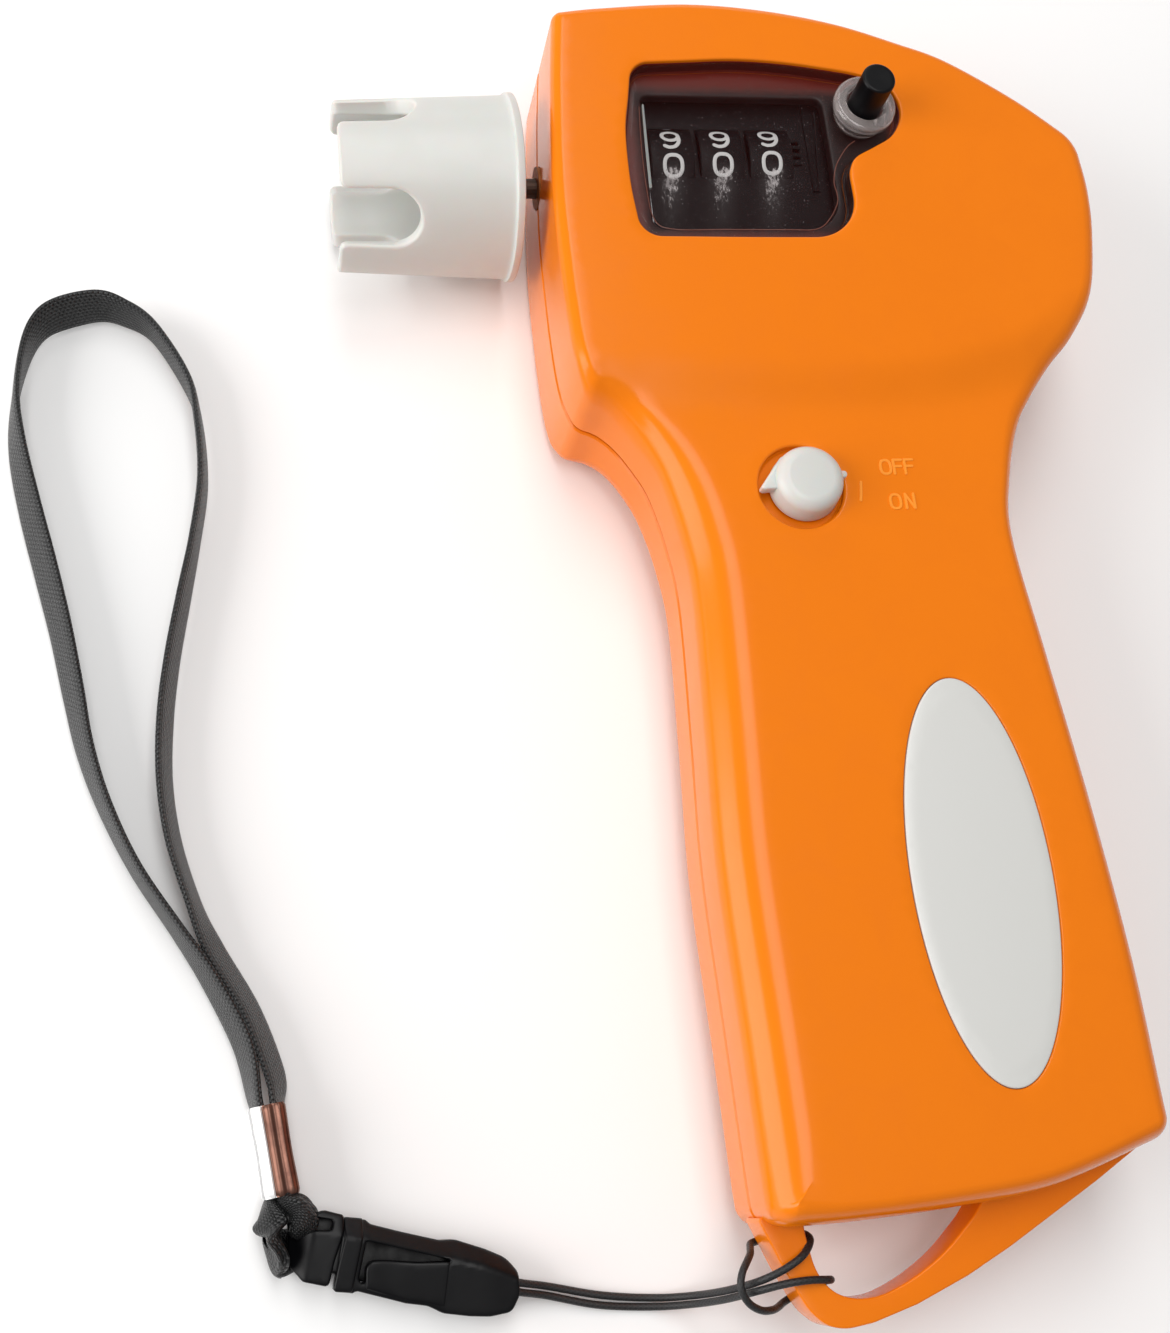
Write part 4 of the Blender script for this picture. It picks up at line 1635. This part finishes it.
strapData = {
    "route": [
        (-39.1, -108.0, 5), (-39.2, -106.8, 9), (-39.5, -105.4, 13), (-40.6, -99.1, 22), (-43.6, -92.4, 19),
        (-46.9, -86.7, 12), (-50.9, -79.9, 11), (-53.9, -73.0, 15), (-56.0, -66.0, 22), (-57.2, -59.0, 28),
        (-58.4, -51.8, 30), (-59.9, -44.5, 32), (-61.5, -37.1, 31), (-62.8, -29.6, 25), (-62.8, -22.0, 8),
        (-60.7, -14.5, -8), (-57.2, -11.8, -20), (-53.7, -11.0, -18), (-50.2, -12.0, -10),
        (-46.8, -14.7, -3), (-43.5, -20.8, -3), (-42.2, -26.3, 5), (-42.0, -34.0, 6), (-43.2, -41.5, 6),
        (-44.8, -48.9, 10), (-46.3, -56.1, 12), (-47.3, -63.1, 14), (-47.6, -70.0, 14), (-46.9, -76.8, 15),
        (-45.1, -83.6, 15), (-43.0, -89.2, 24), (-39.5, -96.0, 23), (-37.4, -102.5, 23),
        (-37.2, -105.6, 14), (-37.35, -106.8, 9), (-37.45, -108.0, 5)],
    "thick": 0.9, "wide": 5.1, "lift": 0.15, "endLift": 0.4, "endShare": 0.06, "rows": 560,
    "pick": 0.55, "end": 0.5,
}


def makeStrap(d):
    # each stop is a place on the floor and the web's lean from upright, in degrees
    stops = evenly(throughPoints(d["route"], 6000), 6000)
    along = runLength(stops[:, :2])
    t = along / along[-1]
    even = np.linspace(0, 1, d["rows"])
    stops = np.stack([np.interp(even, t, stops[:, i]) for i in range(3)], 1)
    tangent = unit(np.gradient(stops[:, :2], axis=0))
    side = np.column_stack([-tangent[:, 1], tangent[:, 0], np.zeros(len(stops))])
    lean, upright = np.radians(stops[:, 2])[:, None], np.array([[0, 0, 1.0]])
    up = upright * np.cos(lean) - side * np.sin(lean)
    flat = side * np.cos(lean) + upright * np.sin(lean)
    high = (d["wide"] * np.cos(lean[:, 0]) + d["thick"] * np.abs(np.sin(lean[:, 0]))) / 2
    rise = d["endLift"] * np.maximum(0, 1 - np.minimum(even, 1 - even) / d["endShare"])
    centres = np.column_stack([stops[:, :2], d["lift"] + rise + high])
    section = webSection(d["wide"], d["thick"])
    sections = np.broadcast_to(section, (len(centres),) + section.shape)
    shape, uv = loft(centres, up, flat, sections, d["pick"], d["end"])
    addPiece("wristWeb", shape, "blackWebbing", "strap", "black_webbing", "wrist_strap", uv=uv)
    print("strap is", round(lineLength(centres), 1), "mm round")


makeStrap(strapData)

foldData = {
    # rows of centre, direction of the width, width, thickness
    "rolls": [
        [(-37.5, -114.6, 3.6, 0, 0, 1, 3.6, 1.1), (-36.9, -115.9, 4.2, 0.2, 0.1, 1, 3.4, 1.5),
         (-35.7, -116.9, 4.7, 0.5, 0.6, 0.8, 3.2, 1.9), (-35.2, -118.0, 4.7, 0.8, 0.6, 0.3, 3.0, 1.9),
         (-35.3, -119.0, 3.9, 0.9, 0.3, 0.2, 2.6, 1.6), (-35.2, -119.2, 2.0, 0.9, 0.2, 0, 2.2, 1.2)],
        [(-37.8, -114.6, 2.8, 0, 0, 1, 3.4, 1.1), (-38.3, -116.2, 3.2, 0.1, -0.5, 0.9, 3.6, 1.5),
         (-38.5, -118.4, 3.8, 0.2, -0.95, 0.3, 4.4, 1.6), (-38.2, -120.3, 3.7, 0.2, -0.97, 0.1, 5.0, 1.5),
         (-38.5, -121.0, 2.4, 0.2, -0.97, 0, 4.9, 1.3), (-37.9, -121.2, 0.95, 0.24, -0.97, 0, 4.6, 1.0),
         (-36.2, -121.0, 0.75, 0.24, -0.97, 0, 4.4, 0.9), (-34.8, -120.8, 1.1, 0.24, -0.97, 0, 4.2, 0.9)],
    ],
    "rows": 70, "crumple": 0.09, "pick": 0.32, "end": 0.3,
}


def makeFold(d):
    rolls, uvs = [], []
    for level, stops in enumerate(d["rolls"]):
        line = throughPoints(stops, d["rows"], power=0)
        centres = line[:, :3]
        tangent = unit(np.gradient(centres, axis=0))
        wide = line[:, 3:6] - (line[:, 3:6] * tangent).sum(1)[:, None] * tangent
        wide = unit(wide)
        base = webSection(1.0, 1.0)
        sections = base[None] * line[:, None, 6:8]
        # soft creases: the skin moves in and out by sines along and round it
        angle = np.linspace(0, 2 * math.pi, base.shape[0], endpoint=False)[None]
        row = np.linspace(0, 1, d["rows"])[:, None]
        crease = 1 + d["crumple"] * (np.sin(5 * angle + 9 * row + level) * np.sin(13 * row + 2 * level)
                                     + 0.6 * np.sin(3 * angle - 17 * row))
        shape, uv = loft(centres, wide, np.cross(tangent, wide), sections * crease[..., None], d["pick"],
                         d["end"])
        rolls.append(shape)
        uvs.append(uv)
    addPiece("webFold", joined(rolls), "blackWebbing", "strap", "black_webbing", "strap_fold",
             uv=np.vstack(uvs), angle=60)


makeFold(foldData)

crimpData = {"top": (-38.4, -106.2), "foot": (-37.3, -115.5), "half": 2.0, "wall": 0.35, "z": (0.15, 6.1),
             "corner": 0.75, "pinch": 0.05, "rows": 26}


def makeCrimp(d):
    # a sleeve of thin sheet pressed flat, open at both ends and pinched in the middle
    top, foot = np.array(d["top"]), np.array(d["foot"])
    down = unit(foot - top)
    across = np.array([-down[1], down[0]])
    long = float(np.linalg.norm(foot - top))
    z0, z1 = d["z"]
    middleZ, highHalf = (z0 + z1) / 2, (z1 - z0) / 2

    def section(half, high, corner):
        spots = corners((-half, half), (-high, high))
        return evenly(roundCorners(spots, corner, 6, closed=True), 120, closed=True)

    outer, inner = (section(d["half"] - wall, highHalf - wall, d["corner"] - wall) for wall in (0, d["wall"]))
    # two rounded ridges run down its face, and its left part slants away
    onTop = outer[:, 1] > highHalf - 0.3
    x = outer[:, 0]
    outer[:, 1] += np.where(onTop & (x > -0.6), 0.12 * np.cos((x - 0.2) * 2 * math.pi / 1.15) - 0.12, 0)
    outer[:, 1] -= np.where(onTop, np.clip(-0.5 - x, 0, None) * 0.35, 0)
    rows = []
    edge = d["wall"] * 0.4
    stops = np.linspace(0, long, d["rows"])
    for loop, order in ((outer, stops), (inner, stops[::-1])):
        for s in order:
            t = s / long
            pinch = 1 - d["pinch"] * math.sin(math.pi * t) ** 2
            end = min(s, long - s)
            roundOff = edge * (1 - min(end / edge, 1)) if loop is outer else 0.0
            spot = top + down * s
            size = 1 - roundOff / d["half"]
            x = loop[:, 0] * pinch * size
            z = loop[:, 1] * (1 + (pinch - 1) * 0.4) * size
            rows.append(np.column_stack([spot[0] + across[0] * x, spot[1] + across[1] * x, middleZ + z]))
    piece = addPiece("crimpSleeve", (np.vstack(rows), gridQuads(len(rows), len(outer), closedRows=True)),
                     "crimpCopper", "strap", "bright_steel", "strap_crimp")
    # the left part of the sleeve is tinned
    piece.data.materials.append(finishes["crimpTin"])
    spots = np.empty(3 * len(piece.data.polygons), np.float32)
    piece.data.polygons.foreach_get("center", spots)
    off = spots.reshape(-1, 3)[:, :2] - place([(*top, 0)])[0, :2]
    tinned = (off @ across < -0.5 * mil).astype(np.int32)
    piece.data.polygons.foreach_set("material_index", tinned)


makeCrimp(crimpData)
print("strap, fold and crimp made")

studio = {
    "floorHalf": 3.0,
    "floorZ": -0.0002,
    "floorRough": 0.7,
    "floorTone": (0.93, 0.93, 0.93, 1),
    "world": (1.0, 1.0, 1.0, 1),
    "worldStrength": 0.32,
    # name: (place, aimed at, width, height, power, colour), in metres and watts
    "lamps": {
        "softbox": ((-0.03, 0.2, 0.6), (-0.03, 0.2, 0.0), 0.24, 0.8, 2.6, (1.0, 0.99, 0.98)),
        "leftFill": ((-0.6, -0.02, 0.19), (0.0, 0.02, 0.01), 0.4, 0.7, 4.2, (1.0, 0.985, 0.97)),
        "backFill": ((-0.03, 0.75, 0.22), (0.0, 0.0, 0.0), 0.7, 0.3, 0.8, (1.0, 1.0, 1.0)),
    },
}


def makeStudio(d):
    half, z = d["floorHalf"], d["floorZ"]
    mesh = bpy.data.meshes.new("floor")
    mesh.from_pydata([(-half, -half, z), (half, -half, z), (half, half, z), (-half, half, z)], [],
                     [(0, 1, 2, 3)])
    floor = bpy.data.objects.new("floor", mesh)
    scene.collection.objects.link(floor)
    tone = bpy.data.materials.new("paleFloor")
    tone.use_nodes = True
    shader = tone.node_tree.nodes["Principled BSDF"]
    shader.inputs["Base Color"].default_value = d["floorTone"]
    shader.inputs["Roughness"].default_value = d["floorRough"]
    mesh.materials.append(tone)
    world = bpy.data.worlds.new("studio")
    scene.world = world
    world.use_nodes = True
    back = world.node_tree.nodes["Background"]
    back.inputs["Color"].default_value = d["world"]
    back.inputs["Strength"].default_value = d["worldStrength"]
    for name, (at, aim, wide, high, power, color) in d["lamps"].items():
        lamp = bpy.data.lights.new(name, "AREA")
        lamp.shape = "RECTANGLE"
        lamp.size, lamp.size_y, lamp.energy, lamp.color = wide, high, power, color
        holder = bpy.data.objects.new(name, lamp)
        holder.location = at
        holder.rotation_mode = "QUATERNION"
        holder.rotation_quaternion = (Vector(aim) - Vector(at)).to_track_quat("-Z", "Y")
        scene.collection.objects.link(holder)


makeStudio(studio)
scene.view_settings.view_transform = "Standard"

carried = {
    "bright_steel": "brightSteel", "bush_brass": "bushBrass", "white_plastic": "whitePlastic",
    "black_plastic": "blackPlastic", "orange_plastic": "orangePlastic", "grey_inlay": "badgePlastic",
    "smoked_lens": "smokedLens", "cell_jacket": "cellJacket", "nickel": "nickelSkin",
    "lead_insulation": "redLead", "black_cord": "blackCord", "black_webbing": "blackWebbing",
}
ownFinish = {"lead_motor_b": "blackLead", "output_shaft": "oiledSteel", "shaft_bush": "brownBrass",
             "counter_frame": "counterBlack", "transfer_gear": "counterBlack"}
slotOf = {part["node"]: part["material_slot"] for part in frame["record"]["subparts"]}
for name, node in nodes.items():
    finish = finishes[ownFinish.get(name, carried[slotOf[name]])]
    if not node.material_slots:
        node.data.materials.append(finish)
    for holder in node.material_slots:
        holder.material = finish
print("carried-over nodes have their finishes")

tuple(place(hitchCord["route"][0]))
[tuple(p) for p in place(cordPath)]
